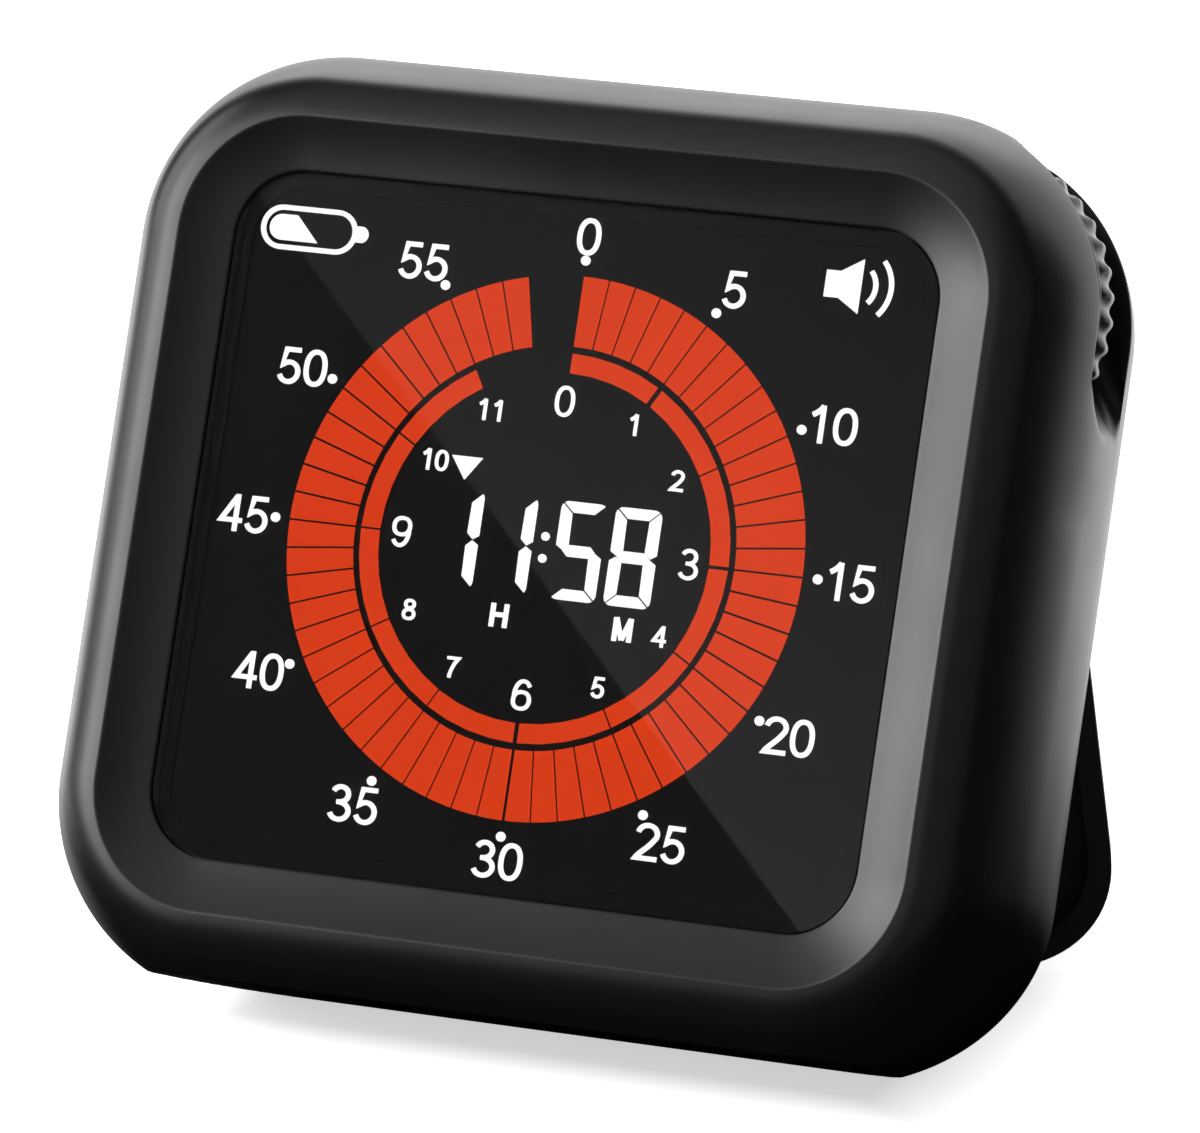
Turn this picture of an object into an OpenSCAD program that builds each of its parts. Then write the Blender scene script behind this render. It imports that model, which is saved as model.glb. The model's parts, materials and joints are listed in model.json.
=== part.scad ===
// Visual countdown timer: a rounded casing that leans back on a hinged rear stand, with a
// segment ring display in front and a knurled setting wheel let into the upper right corner.
// Everything is drawn in the casing's own frame, x to the right, y up the casing and z out of
// the display with z = 0 on its face, and is then leaned back onto the floor by placed().

/* [Casing] */
// Half the distance between the corner centres, across
corner_x = 26.4; // [25:0.1:32]
// Half the distance between the corner centres, up the casing
corner_y = 24.1; // [23.5:0.1:30]
// Corner radius where the casing is widest
widest_r = 17.9; // [17:0.1:20]
// Depth of the widest line behind the display face
widest_depth = 10.5; // [9.5:0.1:12]
// Corner radius of the crest round the bezel
crest_r = 10.9; // [10:0.1:11.5]
// Height of the crest in front of the display face
crest_h = 1.95; // [1.6:0.05:2.6]
// Edge radius beside the crest
crest_round = 4.6; // [4:0.1:5.4]
// Corner radius of the back face
back_r = 12.4; // [11.8:0.1:13]
// Depth of the back face behind the display face
back_depth = 30; // [29.5:0.1:34]
// Edge radius of the back face
back_round = 2.3; // [2.2:0.1:3]
// Wall thickness of the casing
wall = 2; // [1.6:0.1:2.1]
// Distance of the flat base below the display centre
base_drop = 40.2; // [39.6:0.1:41]
// Thickness of the back, behind the plane where the rear cover and the stand begin
back_slab = 3.3; // [3:0.1:3.6]
// Angle by which the casing leans back on its stand
lean = 23.2; // [18:0.2:27]
// Depth of material cut flat where the heel meets the floor
heel_cut = 0.15; // [0.1:0.05:0.3]

/* [Display] */
// Corner radius of the display window
window_r = 6.1; // [5.6:0.1:6.6]
// Height of the window's lip in front of the display face
lip_h = 0.65; // [0.5:0.05:0.9]
// Depth of the lens below the window's lip
lens_sink = 0.2; // [0.1:0.05:0.3]
// Gap round the lens in its window
lens_gap = 0.15; // [0.1:0.05:0.3]
// Thickness of the lens
lens_t = 0.8; // [0.7:0.05:1.2]
// Corner radius of the opening in the ledge behind the lens
ledge_r = 4.6; // [4.2:0.1:5]
// Thickness of that ledge
ledge_t = 0.9; // [0.8:0.1:1.4]
// Thickness of the adhesive frame under the lens
tape_t = 0.15; // [0.1:0.05:0.25]
// Thickness of the lit segments in the panel
film_t = 0.2; // [0.1:0.05:0.3]
// Thickness of the display panel
lcd_t = 1.6; // [1.4:0.1:2]
// Thickness of the backlight guide
guide_t = 2.2; // [1.6:0.1:2.6]
// Floor of the tray behind the backlight guide
tray_floor = 1.05; // [0.8:0.05:1.4]
// Wall of that tray
tray_wall = 1.2; // [0.8:0.1:1.3]
// Outer radius of the minute ring
minute_out = 23.6; // [22:0.1:24.2]
// Inner radius of the minute ring
minute_in = 17.4; // [17.2:0.1:19]
// Outer radius of the hour ring
hour_out = 16.95; // [16:0.05:17]
// Inner radius of the hour ring
hour_in = 15.1; // [14.6:0.1:15.6]
// Minutes left, as lit segments of the minute ring
minutes_lit = 58; // [1:1:59]
// Hours left, as lit segments of the hour ring
hours_lit = 11; // [1:1:11]
// Radius of the circle of minute dots
dot_circle = 25; // [24.6:0.1:26]
// Radius of one minute dot
dot_r = 0.42; // [0.3:0.02:0.6]
// Height of the time digits
digit_h = 8.7; // [7:0.1:9.6]
// Width of the time digits
digit_w = 4.5; // [3.6:0.1:4.7]
// Stroke of the time digits
digit_stroke = 1.1; // [0.8:0.05:1.3]

/* [Setting wheel] */
// Radius over the wheel's teeth
wheel_r = 15; // [14:0.1:15.2]
// Thickness of the wheel
wheel_t = 4.1; // [3.6:0.1:5]
// Thickness of the toothed rim at the wheel's back
tooth_t = 1.3; // [1:0.1:2]
// Depth of the slope from the teeth's crests to their roots, in front of them
tooth_slope = 1.2; // [0.6:0.1:1.5]
// Number of teeth on the wheel
wheel_teeth = 41; // [32:1:48]
// Radius of the groove between two teeth
groove_r = 1.2; // [1:0.05:1.4]
// Depth of a groove
groove_d = 0.45; // [0.3:0.05:0.6]
// Wheel axis right of the corner centre
wheel_dx = 2.6; // [2:0.1:3]
// Wheel axis above the corner centre
wheel_dy = 1.3; // [0.8:0.1:1.6]
// Gap round the wheel in its slot
wheel_gap = 0.3; // [0.3:0.05:0.5]
// Room behind the wheel in its slot
slot_room = 2; // [0.5:0.1:2.5]
// Way in which the wheel is pressed out, as an angle from the right
press_angle = 20.2; // [16:0.1:24]
// Radius of the wheel's axle
axle_r = 2; // [1.6:0.1:2.5]
// Running clearance of the wheel on its axle, on the radius
axle_clear = 0.06; // [0.03:0.01:0.1]
// Travel of the wheel when it is pressed in
press_travel = 0.6; // [0.3:0.1:0.8]
// Distance from the main board to the front edge of the wheel's slot
slot_gap = 1.2; // [1:0.1:1.8]
// Depth of the slot and the thumb scoop together, front to back
scoop_w = 11.7; // [10:0.1:12.5]
// Radius of the thumb scoop's floor
scoop_r = 70; // [50:1:90]
// Lower end of the scoop, below the corner centre
scoop_low = 8.9; // [7:0.1:9.5]
// Upper end of the scoop, as an angle round the corner
scoop_high = 67; // [56:1:70]
// Wall behind the scoop
scoop_wall = 1.6; // [1.2:0.1:2]

/* [Rear cover] */
// Gap round the cover in the casing
cover_gap = 0.2; // [0.1:0.05:0.3]
// Thickness of the cover's plate
cover_t = 2; // [1.6:0.1:2.4]
// Radius of the hearing holes
grille_r = 0.7; // [0.5:0.05:0.9]
// Radius of the round magnets
magnet_r = 6; // [4:0.5:7]
// Thickness of the round magnets
magnet_t = 2.4; // [1.5:0.1:2.6]
// Magnets left and right of the middle
magnet_x = 27; // [24:0.5:28]
// Height of the magnets above the display centre
magnet_y = 20; // [16:0.5:22]
// Radius of the mode button
button_r = 4; // [3:0.1:4.5]
// Travel of the mode button
button_travel = 0.5; // [0.3:0.1:0.6]
// Travel of the volume slider each way
slider_travel = 2; // [1:0.1:2.5]
// Radial gap round the button and the slider
key_gap = 0.3; // [0.25:0.05:0.4]
// Depth of the button and the slider below the back face
key_sink = 0.2; // [0.1:0.05:0.4]

/* [Stand] */
// Angle between the opened stand and the back
stand_open = 42.8; // [36:0.2:48]
// Hinge axis below the display centre
hinge_drop = 1.7; // [1:0.1:4]
// Radius of the stand's hinge barrel
barrel_r = 1.45; // [1.3:0.05:1.5]
// Radius of the hinge pins
pin_r = 0.75; // [0.6:0.05:0.8]
// Running clearance of the stand on its pins, on the radius
pin_clear = 0.05; // [0.02:0.01:0.1]
// Hinge lugs left and right of the middle
lug_x = 28; // [20:0.5:30]
// Width of one hinge lug
lug_w = 6; // [4:0.5:8]
// Gap between the stand and the casing
stand_gap = 0.3; // [0.3:0.05:0.5]
// Depth of the hollow in the stand's inner face
stand_hollow = 1.3; // [0.8:0.1:1.6]
// Width of the rim left round that hollow
stand_rim = 2.2; // [1.5:0.1:4]

/* [Electronics] */
// Corner radius of the main board
board_r = 12; // [11.5:0.1:12.5]
// Thickness of the boards
board_t = 1.2; // [0.8:0.1:1.6]
// Width of the charging socket
usb_w = 8.9; // [8.9:0.1:9.4]
// Height of the charging socket
usb_h = 3.2; // [3:0.1:3.4]
// Charging socket below the display centre
usb_drop = 19; // [17.5:0.5:19.5]
// Width of the battery
battery_w = 42; // [30:1:46]
// Height of the battery
battery_h = 26; // [20:1:28]
// Thickness of the battery
battery_t = 6; // [4:0.5:8]
// Radius of the sounder
buzzer_r = 8; // [6:0.5:8.5]
// Thickness of the sounder
buzzer_t = 4; // [3:0.5:6]

/* [Hidden] */
$fn = 96;
far = 200;
edge_steps = 5;

// Depths behind the display face, from the lens to the main board
split_depth = back_depth - back_slab;
lens_back = lens_t - lip_h + lens_sink;
film_back = lens_back + film_t;
lcd_back = film_back + lcd_t;
guide_back = lcd_back + guide_t;
tray_back = guide_back + tray_floor;
board_back = tray_back + board_t;
ledge_front = lens_back + tape_t;
ledge_back = ledge_front + ledge_t;
cover_front = split_depth - cover_t;

// Two tangent arcs stand for each quarter of the casing's edge: front, then rear
front_a = widest_r - crest_r;
front_b = widest_depth + crest_h;
front_round = (pow(front_a, 2) + pow(front_b - crest_round, 2) - pow(crest_round, 2))
    / (2 * (front_a - crest_round));
rear_a = widest_r - back_r;
rear_b = back_depth - widest_depth;
rear_round = (pow(rear_a, 2) + pow(rear_b - back_round, 2) - pow(back_round, 2))
    / (2 * (rear_a - back_round));
crest_centre = [crest_r, crest_h - crest_round];
front_centre = [widest_r - front_round, -widest_depth];
back_centre = [back_r, back_round - back_depth];
rear_centre = [widest_r - rear_round, -widest_depth];
front_join = atan2(crest_centre.y - front_centre.y, crest_centre.x - front_centre.x);
rear_join = atan2(back_centre.y - rear_centre.y, back_centre.x - rear_centre.x);

// Points along an arc, in equal steps, without its last point
function arc(centre, r, from, to) =
    [for (i = [0 : edge_steps - 1])
        let (turn = from + (to - from) * i / edge_steps) centre + r * [cos(turn), sin(turn)]];

// Corner radius of the casing at a depth behind the widest line
function rear_r(depth) =
    rear_centre.x + sqrt(pow(rear_round, 2) - pow(depth - widest_depth, 2));
split_r = rear_r(split_depth);

// Height of the floor, and the middle of the heel on it, as seen from the display centre
function up(y, depth) = y * cos(lean) - depth * sin(lean);
function behind(y, depth) = y * sin(lean) + depth * cos(lean);
floor_h = up(-corner_y - split_r, split_depth) + heel_cut;
heel_rear = (floor_h + split_depth * sin(lean)) / cos(lean);
heel_front = -(floor_h + base_drop * cos(lean)) / sin(lean);
heel_mid = (behind(heel_rear, split_depth) + behind(-base_drop, heel_front)) / 2;

// Stand: hinge axis, and the length that brings the lower edge down to the floor
hinge_depth = back_depth - barrel_r - 0.05;
stand_face = split_depth + stand_gap;
stand_tilt = stand_open - lean;
stand_len = (up(-hinge_drop, hinge_depth) - floor_h - (hinge_depth - stand_face) * sin(stand_tilt))
    / cos(stand_tilt) + heel_cut;
stand_tip = -hinge_drop - stand_len;
stand_low = stand_tip + rear_r(stand_face);
stop_w = 1.2;
stop_gap = 0.1;

// Wheel: depths, and the middle of the scoop's floor seen from the corner centre
slot_front = board_back + slot_gap;
wheel_front = slot_front + wheel_gap;
wheel_back = wheel_front + wheel_t;
slot_back = wheel_back + slot_room;
scoop_back = slot_front + scoop_w;
base_t = 1;
base_size = [12.5, 14];
base_shift = 0.25;
rail_w = 1.4;
carriage_size = [11, 10.6];
press_size = [3, 5];
carriage_front = board_back + base_t + 0.1;
carriage_back = carriage_front + 1.3;
web_front = carriage_back + 0.3;
hub_r = wheel_r - 1.7;
cup_r = hub_r - 1.6;
tooth_turn = 2.7;
scoop_ends = [[widest_r, -scoop_low], widest_r * [cos(scoop_high), sin(scoop_high)]];
scoop_angle = atan2(scoop_ends[0].x - scoop_ends[1].x, scoop_ends[1].y - scoop_ends[0].y);
scoop_dir = [cos(scoop_angle), sin(scoop_angle)];
scoop_in = scoop_ends[0] * scoop_dir;
scoop_out = scoop_in + sqrt(pow(scoop_r, 2) - pow(norm(scoop_ends[1] - scoop_ends[0]) / 2, 2));

// Fastenings: long posts for the rear cover, short bosses for the main board
post_r = 2.2;
post_foot_r = 2.8;
screw_r = 0.95;
screw_head_r = 1.9;
screw_clear = 0.05;
screw_head_t = 1.1;
case_screw_l = 9;
board_screw_l = 3.6;
rear_screw_l = 4.6;
head_sink = 1.2;
post_out = 6.6;
side_post_out = 9.6;
side_post_y = -8;
posts = [
    [-corner_x - post_out, -corner_y - post_out], [corner_x + post_out, -corner_y - post_out],
    [-corner_x - side_post_out, side_post_y], [corner_x + side_post_out, side_post_y]];
// The main board ends above the casing's floor, or where its own round corners end
board_gap = 0.6;
board_floor = wall + board_gap - base_drop;
boss_in = 2.8;
bosses = [
    [-corner_x - post_out, corner_y + post_out], [8, corner_y + side_post_out],
    [0, max(-corner_y - board_r, board_floor) + boss_in]];

// Rear board with its two switches, and the keys in the cover over them
rear_board_w = 46;
rear_board_h = 10;
rear_boss_h = 4.2;
rear_boss_x = rear_board_w / 2 - 3;
key_x = rear_boss_x - 8;
key_y = 11;
slide_switch = [9, 4.4];
push_switch = 6;
push_stem_r = 1.75;
rear_board_back = cover_front - rear_boss_h;
button_seat = cover_front + 1.3;
slider_w = 2.4;
slider_h = 3;
recess_t = 1.2;

// Leans the casing frame back and stands it on the floor, heel at the origin
module placed() {
    translate([0, -heel_mid, -floor_h])
        rotate([90 - lean, 0, 0])
            children();
}

// Everything under the floor, in the casing frame
module under_floor() {
    rotate([lean - 90, 0, 0])
        translate([-far / 2, -far / 2, floor_h - far])
            cube([far, far, far]);
}

// Block between two depths, from a given height upward
module above(y, front, back) {
    translate([-far / 2, y, -back])
        cube([far, far, back - front]);
}

// Section of the casing's edge, from the corner centre outward, drawn in by inset
module edge_profile(inset) {
    polygon(concat(
        [[0, lip_h - inset], [window_r, lip_h - inset]],
        arc(crest_centre, crest_round - inset, 90, front_join),
        arc(front_centre, front_round - inset, front_join, 0),
        arc(rear_centre, rear_round - inset, 0, rear_join),
        arc(back_centre, back_round - inset, rear_join, -90),
        [[back_r, inset - back_depth], [0, inset - back_depth]]));
}

// Whole rounded body of the casing, with its lower corner centres at the height low
module casing_body(inset = 0, low = -corner_y) {
    height = corner_y - low;
    for (side = [0, 1])
        mirror([side, 0, 0]) {
            translate([corner_x, corner_y, 0])
                rotate_extrude(angle = 90) edge_profile(inset);
            translate([corner_x, low, 0])
                rotate(-90)
                    rotate_extrude(angle = 90) edge_profile(inset);
            translate([corner_x, corner_y, 0])
                rotate([90, 0, 0])
                    linear_extrude(height) edge_profile(inset);
        }
    translate([-corner_x, corner_y, 0])
        rotate([90, 0, 90])
            linear_extrude(2 * corner_x) edge_profile(inset);
    translate([corner_x, low, 0])
        rotate([90, 0, -90])
            linear_extrude(2 * corner_x) edge_profile(inset);
    translate([-corner_x, low, inset - back_depth])
        cube([2 * corner_x, height, back_depth + lip_h - 2 * inset]);
}

// Rounded rectangle of the casing's family, with corner radius r, between two depths
module sheet(r, front, back) {
    translate([0, 0, -back])
        linear_extrude(back - front) {
            square([2 * (corner_x + r), 2 * corner_y], center = true);
            square([2 * corner_x, 2 * (corner_y + r)], center = true);
            for (x = [-corner_x, corner_x])
                for (y = [-corner_y, corner_y])
                    translate([x, y]) circle(r);
        }
}

// Round bar along z between two depths
module rod(at, r, front, back) {
    translate([at.x, at.y, -back])
        cylinder(r = r, h = back - front);
}

// Block round a middle point between two depths
module block(at, size, front, back) {
    translate([at.x - size.x / 2, at.y - size.y / 2, -back])
        cube([size.x, size.y, back - front]);
}

// Round bar along x, about the hinge axis
module hinge_rod(x, w, r) {
    translate([x - w / 2, -hinge_drop, -hinge_depth])
        rotate([0, 90, 0])
            cylinder(r = r, h = w);
}

// Moves to the wheel's axis, with x turned to the way the wheel is pressed out
module at_wheel() {
    translate([corner_x + wheel_dx, corner_y + wheel_dy, 0])
        rotate(press_angle)
            children();
}

// Cylinder of the thumb scoop between two depths
module scoop(r, front, back) {
    centre = [corner_x, corner_y] + scoop_out * scoop_dir;
    rod(centre, r, front, back);
}

// Rounded slot section of the charging socket, grown by grow
module usb_outline(grow) {
    r = usb_h / 2 + grow;
    reach = (usb_w - usb_h) / 2;
    square([2 * reach, 2 * r], center = true);
    for (x = [-reach, reach])
        translate([x, 0]) circle(r);
}

// Places the socket's section on the left edge of the main board, extruded inward from x
module usb_along(x, length) {
    translate([x, -usb_drop, -board_back - usb_h / 2])
        rotate([90, 0, 90])
            linear_extrude(length)
                children();
}
usb_mouth = corner_x + widest_r - wall + 0.2;

// Room inside the casing, round the wall of the thumb scoop, the posts and the bosses
module casing_room() {
    difference() {
        intersection() {
            casing_body(wall);
            above(wall - base_drop, ledge_back, far);
        }
        scoop(scoop_r + scoop_wall, slot_back, scoop_back + scoop_wall);
        for (p = posts) {
            rod(p, post_foot_r, 0, tray_back);
            rod(p, post_r, 0, cover_front);
        }
        for (p = bosses)
            rod(p, post_foot_r, 0, tray_back);
    }
}

// Shell of the front casing, wrapped round the sides as far as the rear cover
module front_housing() {
    color("#202022")
        placed()
            difference() {
                intersection() {
                    casing_body();
                    above(-base_drop, -far / 2, split_depth);
                }
                casing_room();
                sheet(window_r, -far / 2, ledge_front);
                sheet(ledge_r, 0, ledge_back + 1);
                scoop(scoop_r, slot_front, scoop_back);
                rod([corner_x + wheel_dx, corner_y + wheel_dy], wheel_r + wheel_gap + 0.2,
                    slot_front, slot_back);
                for (p = posts)
                    rod(p, screw_r + screw_clear, cover_front - case_screw_l, far);
                for (p = bosses)
                    rod(p, screw_r + screw_clear, ledge_back + 1, far);
                usb_along(-far / 2, far / 2 - corner_x - 8) usb_outline(0.3);
                under_floor();
            }
}

// Adhesive frame that holds the lens on its ledge
module lens_tape() {
    color("#0c0c0c")
        placed()
            difference() {
                sheet(window_r - lens_gap, lens_back, ledge_front);
                sheet(ledge_r, 0, ledge_front + 1);
            }
}

// Flat clear lens in the window
module display_lens() {
    color([0.05, 0.05, 0.06, 0.45])
        placed()
            sheet(window_r - lens_gap, lens_sink - lip_h, lens_back);
}

// Ring of equal segments, of which the first lit ones are shown, clockwise from the top
module segment_ring(outer, inner, count, lit, gap) {
    step = 360 / count;
    translate([0, 0, -film_back])
        linear_extrude(film_t)
            difference() {
                circle(outer);
                circle(inner);
                for (i = [0 : count - 1])
                    rotate(-i * step)
                        translate([-gap / 2, 0]) square([gap, 2 * outer]);
                for (i = [lit : count - 1])
                    rotate(-(i + 0.5) * step)
                        polygon([
                            [0, 0], 2 * outer * [-tan(step / 2), 1], 2 * outer * [tan(step / 2), 1]]);
            }
}

// Lit segments of the minute and hour rings
module ring_segments() {
    color("#e0421f")
        placed() {
            segment_ring(minute_out, minute_in, 60, minutes_lit, 0.15);
            segment_ring(hour_out, hour_in, 12, hours_lit, 0.25);
        }
}

// One bar of a time digit, pointed at both ends
module digit_bar(length) {
    half = length / 2;
    tip = digit_stroke / 2;
    polygon([
        [-half, 0], [tip - half, tip], [half - tip, tip], [half, 0], [half - tip, -tip],
        [tip - half, -tip]]);
}

// One seven bar digit, with its lit bars named a to g clockwise from the top, g in the middle
module digit(bars) {
    x = (digit_w - digit_stroke) / 2;
    y = (digit_h - digit_stroke) / 4;
    places = [
        ["a", [0, 2 * y], 0, 2 * x], ["b", [x, y], 90, 2 * y], ["c", [x, -y], 90, 2 * y],
        ["d", [0, -2 * y], 0, 2 * x], ["e", [-x, -y], 90, 2 * y], ["f", [-x, y], 90, 2 * y],
        ["g", [0, 0], 0, 2 * x]];
    for (p = places)
        if (len(search(p[0], bars)) > 0)
            translate(p[1]) rotate(p[2]) digit_bar(p[3] - 0.15);
}

// Time in the middle of the dial, with its colon
module time_digits() {
    shown = [[-8.1, "bc"], [-3.2, "bc"], [3.2, "afgcd"], [8.2, "abcdefg"]];
    color("white")
        placed()
            translate([0, 0, -film_back])
                linear_extrude(film_t) {
                    for (d = shown)
                        translate([d[0], 0]) digit(d[1]);
                    for (y = [-1, 1])
                        translate([0, y]) square(0.8, center = true);
                }
}

// Dots at every fifth minute round the rings
module minute_dots() {
    color("white")
        placed()
            for (i = [0 : 11])
                rod(dot_circle * [sin(30 * i), cos(30 * i)], dot_r, lens_back, film_back);
}

// Display panel bonded behind the lens, inside the ledge
module lcd_panel() {
    color("#15151a")
        placed()
            sheet(ledge_r - 0.2, film_back, lcd_back);
}

// Clear plate that spreads the backlight
module light_guide() {
    color("#e8edf0")
        placed()
            sheet(ledge_r - 0.2, lcd_back, guide_back);
}

// White tray that holds the backlight guide against the panel
module display_tray() {
    color("#f2f2ee")
        placed()
            difference() {
                sheet(ledge_r + tray_wall, ledge_back, tray_back);
                sheet(ledge_r - 0.1, 0, guide_back);
            }
}

// Main circuit board behind the display
module main_board() {
    color("#1f5c35")
        placed()
            difference() {
                intersection() {
                    sheet(board_r, tray_back, board_back);
                    above(board_floor, 0, far);
                }
                for (p = posts)
                    rod(p, post_r + 0.15, 0, far);
                for (p = bosses)
                    rod(p, screw_r + 0.2, 0, far);
            }
}

// Pan head screw along z, its head behind the given depth
module screw(at, head, length) {
    difference() {
        union() {
            rod(at, screw_head_r, head, head + screw_head_t);
            rod(at, screw_r, head - length, head + 0.5);
        }
        for (turn = [0, 90])
            translate([at.x, at.y, -head - screw_head_t])
                rotate(turn)
                    cube([0.5, 2.2, 1], center = true);
    }
}

// Screws that hold the main board
module board_screws() {
    color("#b9bcc0")
        placed()
            for (p = bosses)
                screw(p, board_back, board_screw_l);
}

// Timer controller on the main board
chip_w = 10;
chip_t = 1.4;
chip_at = [-8, 4];
module controller_chip() {
    color("#141414")
        placed()
            block(chip_at, [chip_w, chip_w], board_back, board_back + chip_t);
}

// Base of the press and turn encoder, with rails for its carriage
module encoder_base() {
    color("#3a3a3d")
        placed()
            at_wheel() {
                block([base_shift, 0], base_size, board_back, board_back + base_t);
                for (side = [-1, 1])
                    block([base_shift, side * (base_size.y - rail_w) / 2], [base_size.x, rail_w],
                        board_back, carriage_back - 0.1);
            }
}

// Push switch that the carriage meets at the end of its travel
module press_switch() {
    color("#c9c9c4")
        placed()
            at_wheel()
                block([-(carriage_size.x + press_size.x) / 2 - press_travel - 0.1, 0], press_size, board_back,
                    carriage_back - 0.1);
}

// Carriage between the rails, with the axle that the wheel turns on
module wheel_carriage() {
    color("#d8d8d2")
        placed()
            at_wheel()
                difference() {
                    union() {
                        block([0, 0], carriage_size, carriage_front, carriage_back);
                        rod([0, 0], axle_r, carriage_front, wheel_back + 0.2);
                    }
                    rod([0, 0], screw_r + screw_clear, carriage_back, far);
                }
}

// Setting wheel with a toothed rim at its back, hollow in front over the encoder
module thumb_wheel() {
    pitch = 360 / wheel_teeth;
    bevel = 0.2;
    root_r = wheel_r - groove_d - 0.1;
    color("#2a2a2c")
        placed()
            at_wheel()
                difference() {
                    intersection() {
                        translate([0, 0, -wheel_back])
                            linear_extrude(wheel_t)
                                difference() {
                                    circle(wheel_r);
                                    for (i = [0 : wheel_teeth - 1])
                                        rotate(i * pitch + tooth_turn)
                                            translate([wheel_r + groove_r - groove_d, 0]) circle(groove_r);
                                }
                        translate([0, 0, -wheel_back])
                            rotate_extrude()
                                polygon([
                                    [0, 0], [wheel_r - bevel, 0], [wheel_r, bevel],
                                    [wheel_r, tooth_t - bevel], [root_r, tooth_t + tooth_slope],
                                    [hub_r, tooth_t + tooth_slope], [hub_r, wheel_t], [0, wheel_t]]);
                    }
                    rod([0, 0], cup_r, 0, web_front);
                    rod([0, 0], axle_r + axle_clear, 0, far);
                }
}

// Shouldered screw that keeps the wheel on its axle
module wheel_screw() {
    color("#b9bcc0")
        placed()
            at_wheel() {
                rod([0, 0], axle_r + 1.4, wheel_back + 0.2, wheel_back + 0.9);
                rod([0, 0], screw_r, carriage_back + 0.5, wheel_back + 0.5);
            }
}

// Charging socket on the left edge of the main board
module usb_socket() {
    color("#c4c7ca")
        placed() {
            usb_along(-usb_mouth, 7.3)
                difference() {
                    usb_outline(0);
                    usb_outline(-0.3);
                }
            usb_along(-usb_mouth + 6.5, 0.8) usb_outline(-0.3);
            usb_along(-usb_mouth + 0.8, 6) square([usb_w - 2.3, 0.7], center = true);
        }
}

// Rear cover: a plate in the casing's mouth, a fixed upper back and two hinge lugs
module rear_cover() {
    color("#1d1d1f")
        placed()
            difference() {
                union() {
                    intersection() {
                        sheet(split_r - wall - cover_gap, cover_front, split_depth);
                        above(wall + cover_gap - base_drop, 0, far);
                    }
                    difference() {
                        intersection() {
                            casing_body();
                            above(-hinge_drop, split_depth, back_depth + 1);
                        }
                        hinge_trough();
                    }
                    for (x = [-lug_x, lug_x])
                        hinge_lug(x);
                    for (x = [-15, 15])
                        block([x, corner_y + split_r - wall - cover_gap - 0.6], [6, 2.2],
                            cover_front - 2, cover_front + 0.5);
                    for (x = [-rear_boss_x, rear_boss_x])
                        rod([x, key_y], post_r, rear_board_back, cover_front + 0.5);
                }
                for (x = [-lug_x, lug_x])
                    hinge_rod(x, lug_w + 1, pin_r + 0.01);
                for (p = posts) {
                    rod(p, screw_r + 0.2, 0, far);
                    rod(p, screw_head_r + 0.2, split_depth - head_sink, far);
                }
                for (x = [-magnet_x, magnet_x])
                    rod([x, magnet_y], magnet_r + 0.05, back_depth - magnet_t, far);
                for (x = [-rear_boss_x, rear_boss_x])
                    rod([x, key_y], screw_r + screw_clear, 0, cover_front + 1);
                rod([-key_x, key_y], button_r + key_gap, 0, far);
                rod([-key_x, key_y], button_r + 1 + key_gap, 0, button_seat);
                block([key_x, key_y], [slider_w + 2 * slider_travel + 2 * key_gap, slider_h + 2 * key_gap],
                    0, far);
                block([key_x, key_y], [14, 7], back_depth - recess_t, far);
                grille();
            }
}

// Hearing holes over the sounder: one in the middle and two rings
module grille() {
    rod(buzzer_at, grille_r, 0, far);
    for (ring = [1, 2])
        for (i = [0 : 6 * ring - 1])
            rod(buzzer_at + 2.6 * ring * [cos(60 * i / ring), sin(60 * i / ring)], grille_r, 0, far);
}
buzzer_at = [0, 27];

// Room for the stand's barrel, with the flat that stops it when it is open
module hinge_trough() {
    r = norm([barrel_r, stop_w]) + 0.3;
    translate([0, -hinge_drop, -hinge_depth])
        rotate([stand_open, 0, 0])
            intersection() {
                rotate([0, 90, 0])
                    cylinder(r = r, h = far, center = true);
                translate([-far / 2, barrel_r + stop_gap - far, -far / 2])
                    cube([far, far, far]);
            }
}

// One lug on the cover that holds a hinge pin
module hinge_lug(x) {
    root = split_depth - 0.5;
    hinge_rod(x, lug_w, barrel_r);
    block([x, 1.5 - hinge_drop], [lug_w, 3], root, back_depth - 0.05);
    block([x, -hinge_drop - barrel_r / 2], [lug_w, barrel_r], root, hinge_depth);
}

// Screws that close the casing
module case_screws() {
    color("#8f9296")
        placed()
            for (p = posts)
                screw(p, split_depth - head_sink, case_screw_l);
}

// Magnets let into the back
module magnets() {
    color("#c8cacd")
        placed()
            for (x = [-magnet_x, magnet_x])
                rod([x, magnet_y], magnet_r, back_depth - magnet_t, back_depth - 0.1);
}

// Sounder behind the hearing holes
module buzzer() {
    color("#101010")
        placed()
            difference() {
                rod(buzzer_at, buzzer_r, cover_front - buzzer_t, cover_front);
                rod(buzzer_at, buzzer_r - 1.2, cover_front - 1, cover_front + 1);
            }
}

// Small board that carries the two switches, on the cover's bosses
module rear_board() {
    color("#1f5c35")
        placed()
            difference() {
                block([0, key_y], [rear_board_w, rear_board_h], rear_board_back - board_t, rear_board_back);
                for (x = [-rear_boss_x, rear_boss_x])
                    rod([x, key_y], screw_r + 0.2, 0, far);
            }
}

// Screws of the small board, driven from the front
module rear_board_screws() {
    color("#b9bcc0")
        placed()
            for (x = [-rear_boss_x, rear_boss_x])
                mirror([0, 0, 1])
                    screw([x, key_y], board_t - rear_board_back, rear_screw_l);
}

// Body of the slide switch
module volume_switch() {
    color("#c9c9c4")
        placed()
            block([key_x, key_y], slide_switch, rear_board_back, cover_front - 1);
}

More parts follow.
